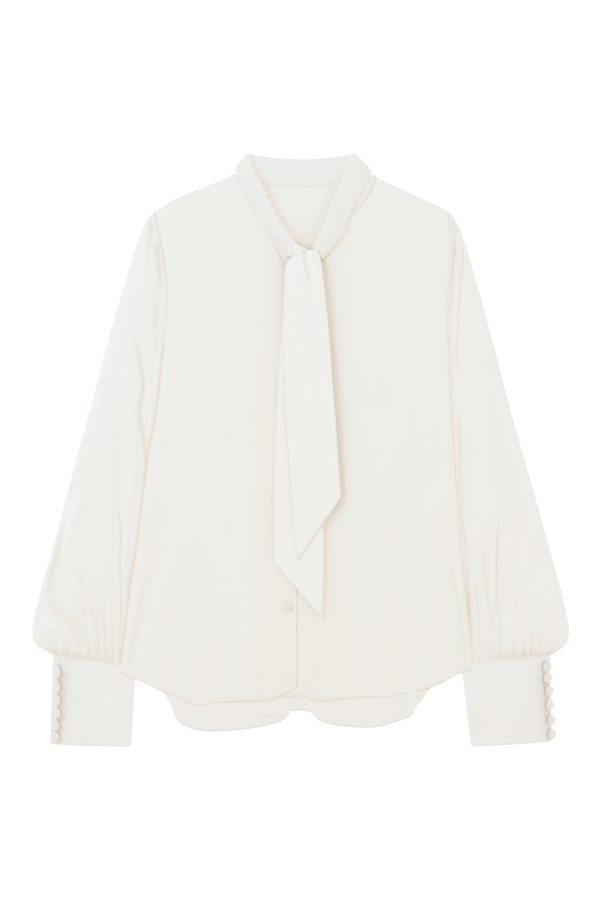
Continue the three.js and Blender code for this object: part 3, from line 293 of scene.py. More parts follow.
# Tie ends: left and right edge points from the knot to the cut end, and the level
FRONT_TAIL = [
    (-4, 239, 17, 241.6, 7.4), (-8.2, 234.6, 19.6, 239.2, 8.4), (-11, 231.6, 21.4, 235.6, 9.4),
    (-15, 227.6, 22.8, 230.8, 10.2), (-18, 221, 24.4, 224, 10.6), (-19.4, 205, 26.6, 205, 10.4),
    (-19.8, 178, 30, 176, 10.2), (-21, 132.6, 34.4, 130, 10), (-19.2, 84.6, 37.6, 84, 10),
    (-16.2, 24.6, 41.6, 34, 10), (-11.6, -38.4, 44.8, -12, 9.8), (-8.6, -84, 46.6, -38, 9.4),
    (-3.8, -130.6, 47.6, -56.8, 9),
]
REAR_TAIL = [
    (-12, 220, 18, 221, 6), (-15, 203, 18, 203, 6.6), (-18, 176, 18.6, 176, 6.8),
    (-22.8, 132.6, 19.6, 130, 6.8), (-26.6, 93.6, 21, 84, 6.8), (-28.8, 42.6, 22.6, 24, 6.8),
    (-31.2, -32.4, 25, -50, 6.8), (-32.4, -90, 27, -110, 6.7), (-32.4, -114, 26.8, -152, 6.5),
    (-32, -134.4, 24.6, -201.2, 6.2),
]
KNOT_BAND = [
    (-14.5, 233.6, -14.5, 250.4, 8.4), (-10, 233.6, -10, 250.6, 10.2), (-5, 235, -5, 247.6, 10.2),
    (0, 237, 0, 244.8, 9.6), (4.4, 239, 4.4, 242.4, 8.8), (6.6, 239.6, 6.6, 241.4, 8),
]
ROLLED_END = [
    (-17.4, 252.6, -11, 254.4, 5.6), (-17.6, 249, -9, 251.6, 8.2), (-17.4, 244, -8.2, 246, 10.2),
    (-16.8, 238.6, -8.4, 239.8, 10.4), (-16, 232.4, -10, 231.8, 8.8),
]
FRONT_TAIL_FOLDS = [
    (-2.4, 2.6, 2, 1, 22, [(3.6, 240), (4.4, 232), (5, 224), (8, 212), (10.4, 200), (11, 192)]),
    (1, 6, 5, 4, 50, [(-6, 228), (-6, 210), (-6, 180), (-4, 150)]),
    (1.6, 4, 4, 2, 50, [(12, 240), (14, 226), (17, 210), (19, 180), (20, 140)]),
    (-1.1, 4.4, 6, 24, 60, [(11, 206), (8, 190), (1, 168), (-1, 140), (-2, 100)]),
    (-0.8, 8, 7, 50, 50, [(26, 110), (21, 80), (17, 49), (14, -8), (14, -40)]),
    (0.6, 8, 8, 50, 50, [(2, 90), (4, 40), (6, -20)]),
]
TIE_EDGE = 4.5  # width over which a tie's edge rolls down
ROLL_LENGTH = 130  # of the turned-down collar on each side, from the knot to the neck


# Curves and folds
def smooth(t):
    t = np.clip(t, 0, 1)
    return t * t * (3 - 2 * t)


def curve(points, key=0, value=1):
    """A soft curve through the points that never overshoots them."""
    x = np.array([p[key] for p in points], float)
    y = np.array([p[value] for p in points], float)
    step = np.diff(y) / np.diff(x)
    slope = np.zeros(len(x))
    alike = step[:-1] * step[1:] > 0
    total = np.where(alike, step[:-1] + step[1:], 1)
    slope[1:-1] = np.where(alike, 2 * step[:-1] * step[1:] / total, 0)
    slope[0], slope[-1] = step[0], step[-1]

    def at(where):
        where = np.clip(where, x[0], x[-1])
        i = np.clip(np.searchsorted(x, where, "right") - 1, 0, len(x) - 2)
        gap = x[i + 1] - x[i]
        t = (where - x[i]) / gap
        rest = 1 - t
        return (
            (1 + 2 * t) * rest ** 2 * y[i] + t * rest ** 2 * gap * slope[i]
            + t * t * (3 - 2 * t) * y[i + 1] - t * t * rest * gap * slope[i + 1]
        )

    return at


def along_rows(rows):
    """A curve through each column of a table, by the row's number."""
    marks = [(i, *row) for i, row in enumerate(rows)]
    return [curve(marks, 0, k) for k in range(1, len(marks[0]))]


def soft_path(points, steps=5):
    """The points again with more between them, on a soft curve."""
    p = np.array([points[0], *points, points[-1]], float)
    t = np.arange(steps)[:, None] / steps
    pieces = []
    for i in range(1, len(p) - 2):
        a, b, c, d = p[i - 1:i + 3]
        pieces.append(
            0.5 * (2 * b + (c - a) * t + (2 * a - 5 * b + 4 * c - d) * t ** 2
                   + (3 * b - a - 3 * c + d) * t ** 3)
        )
    return np.vstack([*pieces, p[-1:]])


def beside_path(line, x, y):
    """How far each point lies from the line, negative on its left, and how far along."""
    best = np.full(x.shape, 1e9)
    side = np.ones(x.shape)
    along = np.zeros(x.shape)
    run = 0.0
    for (ax, ay), (bx, by) in zip(line[:-1], line[1:]):
        dx, dy = bx - ax, by - ay
        length = math.hypot(dx, dy)
        t = np.clip(((x - ax) * dx + (y - ay) * dy) / length ** 2, 0, 1)
        away = np.hypot(x - ax - t * dx, y - ay - t * dy)
        nearer = away < best
        best = np.where(nearer, away, best)
        side = np.where(nearer, np.sign((y - ay) * dx - (x - ax) * dy), side)
        along = np.where(nearer, run + t * length, along)
        run += length
    return -best * side, along, run


def folded(x, y, folds):
    """Height that the folds add at each point."""
    total = np.zeros(x.shape)
    for lift, left, right, fade_in, fade_out, path in folds:
        line = soft_path(path)
        reach = 3 * max(left, right)
        low, high = line.min(0) - reach, line.max(0) + reach
        near = (x > low[0]) & (x < high[0]) & (y > low[1]) & (y < high[1])
        if not near.any():
            continue
        away, along, run = beside_path(line, x[near], y[near])
        width = np.where(away < 0, left, right)
        fade = smooth(along / fade_in) * smooth((run - along) / fade_out)
        total[near] += lift * np.exp(-(away / width) ** 2) * fade
    return total


def ripple(x, y, size, seed):
    """Soft uneven waves between -1 and 1, about size across."""
    draw = np.random.default_rng(seed)
    total = np.zeros(x.shape)
    for _ in range(6):
        turn, phase = draw.uniform(0, 2 * math.pi, 2)
        pitch = size * draw.uniform(0.7, 1.5)
        total += np.sin((x * math.cos(turn) + y * math.sin(turn)) * 2 * math.pi / pitch + phase)
    return total / 6


# Meshes
# Painted shade: creases are coloured warmer and darker, by how far they lie under the surface
# around them
CREASE_SHADE_SPREAD = 24  # rounds of averaging
CREASE_SHADE_DEPTH = 1.6  # how far under that average a crease gets its full painted shade


def averaged(z, times):
    for _ in range(times):
        z = np.pad(z, 1, mode="edge")
        z = (z[:-2, 1:-1] + z[2:, 1:-1] + z[1:-1, :-2] + z[1:-1, 2:]) / 4
    return z


def cloth(name, across, along, place, wall, material, closed=False):
    """A grid of cloth. place(u, v) gives its middle surface, its own lengths for the weave and
    any extra values, in arrays that run along v and across u."""
    bm = bmesh.new()
    bmesh.ops.create_grid(bm, x_segments=across, y_segments=along, size=0.5)
    mesh = bpy.data.meshes.new(name)
    bm.to_mesh(mesh)
    bm.free()
    flat = np.empty(len(mesh.vertices) * 3)
    mesh.vertices.foreach_get("co", flat)
    u, v = flat[0::3] + 0.5, flat[1::3] + 0.5
    order = np.lexsort((u.round(5), v.round(5)))
    shape = (len(np.unique(v.round(5))), -1)
    made = place(u[order].reshape(shape), v[order].reshape(shape))
    x, y, z = made["xyz"]
    points = np.empty((len(order), 3))
    points[order] = np.stack([x.ravel(), y.ravel(), z.ravel()], 1) * MM
    mesh.vertices.foreach_set("co", points.ravel())

    # Painted shade: the lower a point lies under the averaged surface, the warmer and darker its
    # colour
    crease = np.clip((averaged(z, CREASE_SHADE_SPREAD) - z) / CREASE_SHADE_DEPTH, 0, 1)
    values = {"crease": crease, **made.get("values", {})}
    for key, value in values.items():
        spread = np.empty(len(order), np.float32)
        spread[order] = np.broadcast_to(value, x.shape).ravel()
        mesh.attributes.new(key, "FLOAT", "POINT").data.foreach_set("value", spread)
    weave = np.empty((len(order), 2))
    weave[order] = np.stack([made["weave"][0].ravel(), made["weave"][1].ravel()], 1) * MM
    corner = np.empty(len(mesh.loops), np.int32)
    mesh.loops.foreach_get("vertex_index", corner)
    mesh.uv_layers.new(name="cloth").data.foreach_set("uv", weave[corner].ravel())

    bm = bmesh.new()
    bm.from_mesh(mesh)
    if closed:
        rim = [vert for vert in bm.verts if vert.is_boundary]
        bmesh.ops.remove_doubles(bm, verts=rim, dist=1e-7)
    bm.normal_update()
    top = sorted(bm.faces, key=lambda face: face.calc_center_median().z)[-len(bm.faces) // 4:]
    if sum(face.normal.z * face.calc_area() for face in top) < 0:
        bmesh.ops.reverse_faces(bm, faces=bm.faces)
    for face in bm.faces:
        face.smooth = True
    bm.to_mesh(mesh)
    bm.free()
    piece = add_piece(name, mesh, material)
    shell = piece.modifiers.new("wall", "SOLIDIFY")
    shell.thickness = wall * MM
    shell.offset = 0
    return piece


def add_piece(name, mesh, material):
    piece = bpy.data.objects.new(name, mesh)
    bpy.context.scene.collection.objects.link(piece)
    mesh.materials.append(material)
    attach(piece, BODY)
    return piece


def solid(name, bm, material):
    """A small closed piece, built in millimetres."""
    bmesh.ops.scale(bm, vec=(MM, MM, MM), verts=bm.verts)
    for face in bm.faces:
        face.smooth = True
    mesh = bpy.data.meshes.new(name)
    bm.to_mesh(mesh)
    bm.free()
    return add_piece(name, mesh, material)


# Materials
NUMBER, COLOUR, PLACE = "NodeSocketFloat", "NodeSocketColor", "NodeSocketVector"
PLAIN = (0.83, 0.825, 0.80)
# The warm colour below is the painted shade in creases and also the random warm drift of the tone
WARM_TONE_AND_SHADE = (0.82, 0.745, 0.655)
PAINTED_GLOW = (0.26, 0.19, 0.13)  # painted glow: warm emission in hollows where the silk lies close, standing in for light that comes through it
PAINTED_GLOW_REACH = 0.007  # metres to the next layer, over which the painted glow is measured
SHADOW_GLOW_SHARE = 0.26  # share of painted glow added over the painted shadows beside the tie and inside the neck
YARN = 0.00042
CRINKLE = 0.00012  # depth of the grain


def group(name, inputs, outputs):
    tree = bpy.data.node_groups.new(name, "ShaderNodeTree")
    for label, kind, default in inputs:
        socket = tree.interface.new_socket(name=label, in_out="INPUT", socket_type=kind)
        if default is not None:
            socket.default_value = default
    for label, kind in outputs:
        tree.interface.new_socket(name=label, in_out="OUTPUT", socket_type=kind)
    return tree, tree.nodes.new("NodeGroupInput").outputs, tree.nodes.new("NodeGroupOutput")


def feed(made, values):
    """Link or set a node's inputs."""
    for key, value in values.items():
        if isinstance(value, bpy.types.NodeSocket):
            made.id_data.links.new(value, made.inputs[key])
        else:
            made.inputs[key].default_value = value
    return made


def node(tree, kind, values=(), **settings):
    made = tree.nodes.new(kind)
    for key, value in settings.items():
        setattr(made, key, value)
    return feed(made, dict(values))


def maths(tree, operation, first, second=0.0, clamp=False):
    values = {0: first, 1: second}
    return node(tree, "ShaderNodeMath", values, operation=operation, use_clamp=clamp).outputs[0]


def crepe_grain():
    """Fine crinkle of twisted yarns over a plain weave."""
    tree, given, out = group("crepe_grain", [("Place", PLACE, None), ("Yarn", NUMBER, 0.0004)],
                             [("Height", NUMBER), ("Slub", NUMBER)])
    place = given["Place"]
    fine = maths(tree, "DIVIDE", 1.0, given["Yarn"])
    warp, weft = [
        node(tree, "ShaderNodeTexWave",
             {"Vector": place, "Scale": maths(tree, "MULTIPLY", fine, 0.16), "Distortion": 1.2,
              "Detail": 1.0},
             wave_type="BANDS", bands_direction=direction).outputs["Fac"]
        for direction in ("X", "Y")
    ]
    weave = maths(tree, "MULTIPLY", warp, weft)
    pebble = node(tree, "ShaderNodeTexNoise",
                  {"Vector": place, "Scale": maths(tree, "MULTIPLY", fine, 0.55), "Detail": 3.0})
    height = maths(tree, "ADD", maths(tree, "MULTIPLY", weave, 0.4), pebble.outputs["Fac"])
    drawn = node(tree, "ShaderNodeMapping", {"Vector": place, "Scale": (1.0, 0.06, 1.0)})
    slub = node(tree, "ShaderNodeTexNoise",
                {"Vector": drawn.outputs["Vector"], "Scale": maths(tree, "MULTIPLY", fine, 0.3),
                 "Detail": 2.0})
    feed(out, {"Height": height, "Slub": slub.outputs["Fac"]})
    return tree


def soft_tone():
    """Colour of undyed silk: a little uneven, with painted warm shade down in a crease."""
    tree, given, out = group(
        "soft_tone",
        [("Place", PLACE, None), ("Painted crease shade", NUMBER, 0.0), ("Facing", NUMBER, 0.0),
         ("Slub", NUMBER, 0.5), ("Plain", COLOUR, (0.8, 0.8, 0.8, 1)),
         ("Warm", COLOUR, (0.8, 0.7, 0.6, 1))],
        [("Color", COLOUR)],
    )
    cloud = node(tree, "ShaderNodeTexNoise",
                 {"Vector": given["Place"], "Scale": 11.0, "Detail": 2.0})
    drift = maths(tree, "MULTIPLY", maths(tree, "SUBTRACT", cloud.outputs["Fac"], 0.42), 0.3)
    thread = maths(tree, "MULTIPLY", maths(tree, "SUBTRACT", given["Slub"], 0.5), 0.12)
    # Painted shade: the crease mask darkens and warms the colour
    painted_light_share = maths(tree, "MULTIPLY", given["Painted crease shade"], 0.62)
    lined = maths(tree, "MULTIPLY", given["Facing"], 0.16)
    total = maths(tree, "ADD", maths(tree, "ADD", drift, thread), maths(tree, "ADD", painted_light_share, lined))
    held = maths(tree, "MAXIMUM", total, 0.0, clamp=True)
    mix = node(tree, "ShaderNodeMix", {}, data_type="RGBA")
    feed(mix, {"Factor": held, "A": given["Plain"], "B": given["Warm"]})
    feed(out, {"Color": mix.outputs["Result"]})
    return tree


def stitch_row():
    """A row of small stitches at a set distance from an edge."""
    tree, given, out = group(
        "stitch_row",
        [("From edge", NUMBER, 0.0), ("Along", NUMBER, 0.0), ("Row", NUMBER, 5.0),
         ("Stitch", NUMBER, 2.2)],
        [("Mask", NUMBER), ("Groove", NUMBER)],
    )
    off = maths(tree, "ABSOLUTE", maths(tree, "SUBTRACT", given["From edge"], given["Row"]))
    line = maths(tree, "SUBTRACT", 1.0, maths(tree, "DIVIDE", off, 0.45), clamp=True)
    groove = maths(tree, "SUBTRACT", 1.0, maths(tree, "DIVIDE", off, 1.1), clamp=True)
    beat = maths(tree, "FRACT", maths(tree, "DIVIDE", given["Along"], given["Stitch"]))
    dash = maths(tree, "LESS_THAN", beat, 0.7)
    feed(out, {"Mask": maths(tree, "MULTIPLY", line, dash), "Groove": groove})
    return tree


GRAIN, TONE, STITCH = crepe_grain(), soft_tone(), stitch_row()


def value_of(tree, name):
    return node(tree, "ShaderNodeAttribute", attribute_name=name).outputs["Fac"]


def crepe(name, plain, warm, rough, sheen, bump, painted_glow_strength=1.0, stitched=False, by_object=False):
    material = bpy.data.materials.new(name)
    material.use_nodes = True
    tree = material.node_tree
    if by_object:
        place = node(tree, "ShaderNodeTexCoord").outputs["Object"]
    else:
        place = node(tree, "ShaderNodeUVMap", uv_map="cloth").outputs["UV"]
    grain = node(tree, "ShaderNodeGroup", node_tree=GRAIN)
    feed(grain, {"Place": place, "Yarn": YARN})
    slub, height = grain.outputs["Slub"], grain.outputs["Height"]
    tone = node(tree, "ShaderNodeGroup", node_tree=TONE)
    feed(tone, {"Place": place, "Slub": slub, "Plain": (*plain, 1), "Warm": (*warm, 1)})
    colour = tone.outputs["Color"]
    # Painted light: an emission that glows warm where ambient occlusion finds a near layer,
    # lightening and warming the shade in hollows
    hollow = node(tree, "ShaderNodeAmbientOcclusion", {"Distance": PAINTED_GLOW_REACH}, samples=4)
    painted_light_share = maths(tree, "POWER", maths(tree, "SUBTRACT", 1.0, hollow.outputs["AO"]), 1.5)
    if not by_object:
        crease = value_of(tree, "crease")
        # Painted shadows beside the tie and inside the neck: they warm the colour as shade and add
        # painted glow
        if stitched:
            warmth = value_of(tree, "warmth")
            crease = maths(tree, "ADD", crease, warmth, clamp=True)
            shadow_glow = maths(tree, "MULTIPLY", warmth, SHADOW_GLOW_SHARE)
            painted_light_share = maths(tree, "ADD", painted_light_share, shadow_glow, clamp=True)
        feed(tone, {"Painted crease shade": crease})
    if stitched:
        feed(tone, {"Facing": value_of(tree, "facing")})
        row = node(tree, "ShaderNodeGroup", node_tree=STITCH)
        feed(row, {"From edge": value_of(tree, "hem"), "Along": value_of(tree, "run")})
        dark = node(tree, "ShaderNodeMix", data_type="RGBA", blend_type="MULTIPLY")
        feed(dark, {"Factor": maths(tree, "MULTIPLY", row.outputs["Mask"], 0.22), "A": colour,
                    "B": (0.8, 0.74, 0.64, 1)})
        colour = dark.outputs["Result"]
        height = maths(tree, "SUBTRACT", height,
                       maths(tree, "MULTIPLY", row.outputs["Groove"], 0.5))
    painted_glow_colour = node(tree, "ShaderNodeMix", data_type="RGBA")
    feed(painted_glow_colour, {"Factor": painted_light_share, "A": (0, 0, 0, 1), "B": (*PAINTED_GLOW, 1)})
    gloss = maths(tree, "ADD", rough - 0.06, maths(tree, "MULTIPLY", slub, 0.12))
    raised = node(tree, "ShaderNodeBump",
                  {"Strength": bump, "Distance": CRINKLE, "Height": height})
    feed(tree.nodes["Principled BSDF"], {
        "Base Color": colour, "Roughness": gloss, "Specular IOR Level": 0.32,
        "Sheen Weight": sheen, "Sheen Roughness": 0.45, "Normal": raised.outputs["Normal"],
        "Emission Color": painted_glow_colour.outputs["Result"], "Emission Strength": painted_glow_strength,
    })
    return material


PANEL = crepe("crepe_panel", PLAIN, WARM_TONE_AND_SHADE, 0.52, 0.12, 0.35, stitched=True)
SLEEVE = crepe("crepe_sleeve", PLAIN, WARM_TONE_AND_SHADE, 0.50, 0.05, 0.35)
# The cuff's darker warm colour serves the painted shadow beside its buttons as well as the random
# tone
CUFF = crepe("crepe_cuff", (0.828, 0.826, 0.81), (0.70, 0.59, 0.53), 0.50, 0.08, 0.3)
PRESSED = crepe("crepe_pressed", (0.812, 0.808, 0.788), WARM_TONE_AND_SHADE, 0.50, 0.12, 0.3)
TIE = crepe("crepe_tie", (0.838, 0.843, 0.822), WARM_TONE_AND_SHADE, 0.47, 0.12, 0.3, painted_glow_strength=0.6)
COVER = crepe("button_cover", (0.78, 0.765, 0.735), (0.7, 0.62, 0.53), 0.42, 0.1, 0.25,
              painted_glow_strength=0.5, by_object=True)
LOOP = crepe("rouleau_loop", (0.76, 0.72, 0.67), (0.66, 0.56, 0.46), 0.5, 0.1, 0.25,
             by_object=True)

# Body
HEM_REACH = 40  # how far up from a hem its distance is kept
FACING_X = 56  # inner edges of the facings, left and right of the middle
FACING_LIFT = 0.12
CROWDED = 1.3  # power that draws a front's columns together beside its placket
LEAST_GAP = 0.8  # between the fronts and the back, middle to middle
SEAM_SET_BACK = 1.2  # how far behind the fronts' shoulders the back's lie
SIDE_LEFT, SIDE_RIGHT = curve(BODY_SIDES, 0, 1), curve(BODY_SIDES, 0, 2)
EDGE_LIFT = curve(BODY_SIDES, 0, 3)
FRONT_TOP = curve([*LEFT_SHOULDER, *FRONT_NECK, (89.6, 327), *RIGHT_SHOULDER[1:]])
BACK_TOP = curve([(x, y - SEAM_SET_BACK) for x, y in LEFT_SHOULDER] + BACK_NECK
                 + [(x, y - SEAM_SET_BACK) for x, y in RIGHT_SHOULDER])


def between_sides(u, v, start, end, hem, top):
    """Points of a panel whose columns run between two sides and whose rows run hem to top."""
    y = -300 + 600 * v
    for _ in range(9):
        x = start(y) + (end(y) - start(y)) * u
        y = hem(x) + (top(x) - hem(x)) * v
    return x, y


def from_side(x, y):
    """How far inside the nearer side of the body."""
    return np.minimum(x - SIDE_LEFT(y), SIDE_RIGHT(y) - x)


def back_level(x, y):
    share = 1 - np.clip((from_side(x, y) - EDGE_PLATEAU) / EDGE_SLOPE, 0, 1)
    return BACK_Z + EDGE_LIFT(y) * smooth(share)


def front_level(x, y):
    side = from_side(x, y)
    below = smooth((160 - y) / 90)
    roll = 0.8 * np.exp(-((side - 8) / 7) ** 2) * below
    turn = np.clip(1 - side / 3.0, 0, 1)
    drop = (1 - np.sqrt(1 - turn ** 2 * 0.98)) * (0.2 + 1.4 * below)
    calm = smooth(side / 9)
    level = back_level(x, y) + LAYER + roll - drop
    level += folded(x, y, BODY_FOLDS) * smooth(side / 3)
    level += folded(x, y, HEM_FLUTES) * calm
    level += 0.22 * ripple(x, y * 0.35, 60, 3) * calm + 0.09 * ripple(x, y * 0.5, 24, 4) * calm
    return level


def above_back(x, y, level, least):
    return np.maximum(level, back_level(x, y) + least)


def beside(table, x, y, reach):
    """How near a place is to the right-hand edge of a tie end, from nought to one."""
    rows = np.array(table)[::-1]
    off = x - np.interp(y, rows[:, 3], rows[:, 2])
    return np.exp(-((off - 1) / reach) ** 2)


def tie_warmth(x, y):
    """Painted shadow: the tie's shadow painted warm on the cloth beside the right-hand edges of
    its ends, with a broad painted shade left of it.
    """
    high = smooth((y + 66) / 12)
    warm = 0.85 * beside(FRONT_TAIL, x, y, 6) * high * smooth((244 - y) / 8)
    warm += 0.6 * beside(REAR_TAIL, x, y, 5) * (1 - high) * smooth((y + 205) / 10)
    return warm + 0.3 * np.exp(-((x + 34) / 15) ** 2) * smooth((y + 120) / 60)


def neck_warmth(x, y):
    """Painted shadow on the back inside the neck: along the collar's fold and above the knot."""
    fold = np.array(RIGHT_COLLAR)
    off = x - np.interp(y, fold[:, 1], fold[:, 0])
    warm = 0.6 * np.exp(-(off / 8) ** 2) * smooth((335 - y) / 90)
    return np.clip(warm + 0.8 * smooth((276 - y) / 34), 0, 1) * smooth((y - 225) / 12)


def stitched(x, y, level, from_hem, **values):
    """What a panel with stitching hands to cloth()."""
    return {"xyz": (x, y, level), "weave": (x, y),
            "values": {"hem": from_hem, "run": x, **values}}


def right_front(u, v):
    hem = curve(RIGHT_FRONT_HEM)
    x, y = between_sides(u ** CROWDED, v, SIDE_LEFT, lambda at: PLACKET_X + 0 * at, hem, FRONT_TOP)
    lap = smooth((x + 62) / (62 + PLACKET_X - PLACKET_WIDTH - 6))
    level = above_back(x, y, front_level(x, y), LEAST_GAP)
    level += LAYER * lap + folded(x, y, CURL_FOLDS)
    edge = PLACKET_X - x
    level += 0.3 * np.exp(-((edge - 4) / 4) ** 2) - 0.7 * np.clip(1 - edge / 1.5, 0, 1) ** 2
    pucker = np.hypot(x - BUTTON_PLACE[0], (y - BUTTON_PLACE[1] - 5) * 0.7)
    level -= 0.35 * np.exp(-(pucker / 7) ** 2)
    facing = smooth((x + FACING_X) / 3)
    level += FACING_LIFT * facing
    from_hem = np.minimum(y - hem(x), HEM_REACH)
    level -= 0.5 * np.clip(1 - from_hem / 9, 0, 1)
    return stitched(x, y, level, from_hem, facing=facing, warmth=tie_warmth(x, y))


def left_front(u, v):
    hem = curve(LEFT_FRONT_HEM)
    near = 1 - (1 - u) ** CROWDED
    start = PLACKET_X - PLACKET_WIDTH
    x, y = between_sides(near, v, lambda at: start + 0 * at, SIDE_RIGHT, hem, FRONT_TOP)
    level = above_back(x, y, front_level(x, y), LEAST_GAP)
    under = 1 - smooth((x - PLACKET_X + 1.2) / 2.4)
    raised = 0.9 * smooth((PLACKET_X + 40 - x) / 40)
    level = (level + raised) * (1 - under) + (BACK_Z + LAYER) * under
    facing = 1 - smooth((x - FACING_X) / 3)
    level += FACING_LIFT * facing * (1 - under)
    from_hem = np.minimum(y - hem(x), HEM_REACH)
    level -= 0.5 * np.clip(1 - from_hem / 9, 0, 1) * (1 - under)
    return stitched(x, y, level, from_hem, facing=facing * 0.7, warmth=tie_warmth(x, y))


def back(u, v):
    hem = curve(BACK_HEM)
    x, y = between_sides(u, v, lambda at: SIDE_LEFT(at) + 0.8, lambda at: SIDE_RIGHT(at) - 0.8,
                         hem, BACK_TOP)
    level = back_level(x, y)
    low = 1 - smooth((y + 296) / 30)
    level += low * 0.8 * np.exp(-((x - 32) / 10) ** 2)
    level += low * 0.5 * np.exp(-((x - 58) / 12) ** 2)
    level += low * 0.5 * np.exp(-((x - 96) / 14) ** 2)
    level += low * 1.7 * smooth((x - 125) / 3) * (1 - smooth((x - 138) / 4))
    level += low * 0.7 * np.exp(-((x + 118) / 16) ** 2)
    from_hem = np.minimum(y - hem(x), HEM_REACH)
    level += 0.3 * np.clip(1 - from_hem / 6, 0, 1)
    top = smooth((y - 250) / 40)
    level += 0.2 * ripple(x, y, 46, 9) * top * smooth(from_side(x, y) / 20)
    level = np.maximum(level, 0.35)
    return stitched(x, y, level, from_hem, facing=0 * x, warmth=neck_warmth(x, y))


def hem_pleat(u, v):
    """Part of the back's hem that is folded over the rest, left of the middle."""
    x = -52.8 + 39 * u
    bottom = -318.4 - 2.2 * smooth((x + 50) / 26) + 2.0 * smooth((x + 22) / 6)
    top = -286.0
    y = bottom + (top - bottom) * v
    edge = np.clip(1 - (x + 52.8) / 1.8, 0, 1)
    level = BACK_Z + 0.6 - 0.4 * (1 - np.sqrt(1 - edge ** 2 * 0.98))
    level -= 0.35 * smooth((x + 24) / 9)
    return stitched(x, y, level, HEM_REACH + 0 * x, facing=0 * x)


# Sleeves
INNER_FOLD = 0.9  # radius of a sleeve's fold beside the body
RISE = 5.5  # width over which a sleeve rises out of its crease
# How open the crease between body and sleeve lies, at each height
RIGHT_CREASE = [
    (-262, 0.25), (-215, 0.25), (-185, 0.6), (-155, 0.95), (-130, 0.8), (-105, 0.4), (-80, 0.4),
    (-44, 0.8), (-20, 1), (0, 0.9), (30, 0.5), (60, 0.35), (110, 0.2), (146, 0),
]
LEFT_CREASE = [
    (-262, 0.3), (-215, 0.35), (-160, 0.4), (-100, 0.45), (-40, 0.5), (20, 0.55), (70, 0.5),
    (110, 0.45), (146, 0),
]
# Shares of the grid at which a sleeve's top, its inner fold and its underside end
TOP_END, TURN_END, UNDER_END = 0.74, 0.78, 0.92
GATHERS = ((13, 2.2, 1.8, (18, 38)), (30, 1.0, 1.4, (5, 13)))  # count, height, width, lengths
SEAM_DROP = 11  # length over which a sleeve comes down to its cuff
SEAM_TUCK = 4.0  # length that is sewn into the cuff


def gathers(share, height, width, seed):
    """Small pleats that the cuff seam draws up, each with its own length."""
    draw = np.random.default_rng(seed)
    total = np.zeros(share.shape)
    for count, lift, narrow, lengths in GATHERS:
        for i in range(count):
            middle = (i + draw.uniform(0.2, 0.8)) / count
            length = draw.uniform(*lengths)
            tall = lift * draw.uniform(0.7, 1.3)
            lean = draw.uniform(-0.025, 0.025) * height / 20
            away = (share - middle - lean) * width / (narrow * draw.uniform(0.85, 1.2))
            total += tall * np.exp(-away ** 2) * np.exp(-(height / length) ** 1.6)
    return total


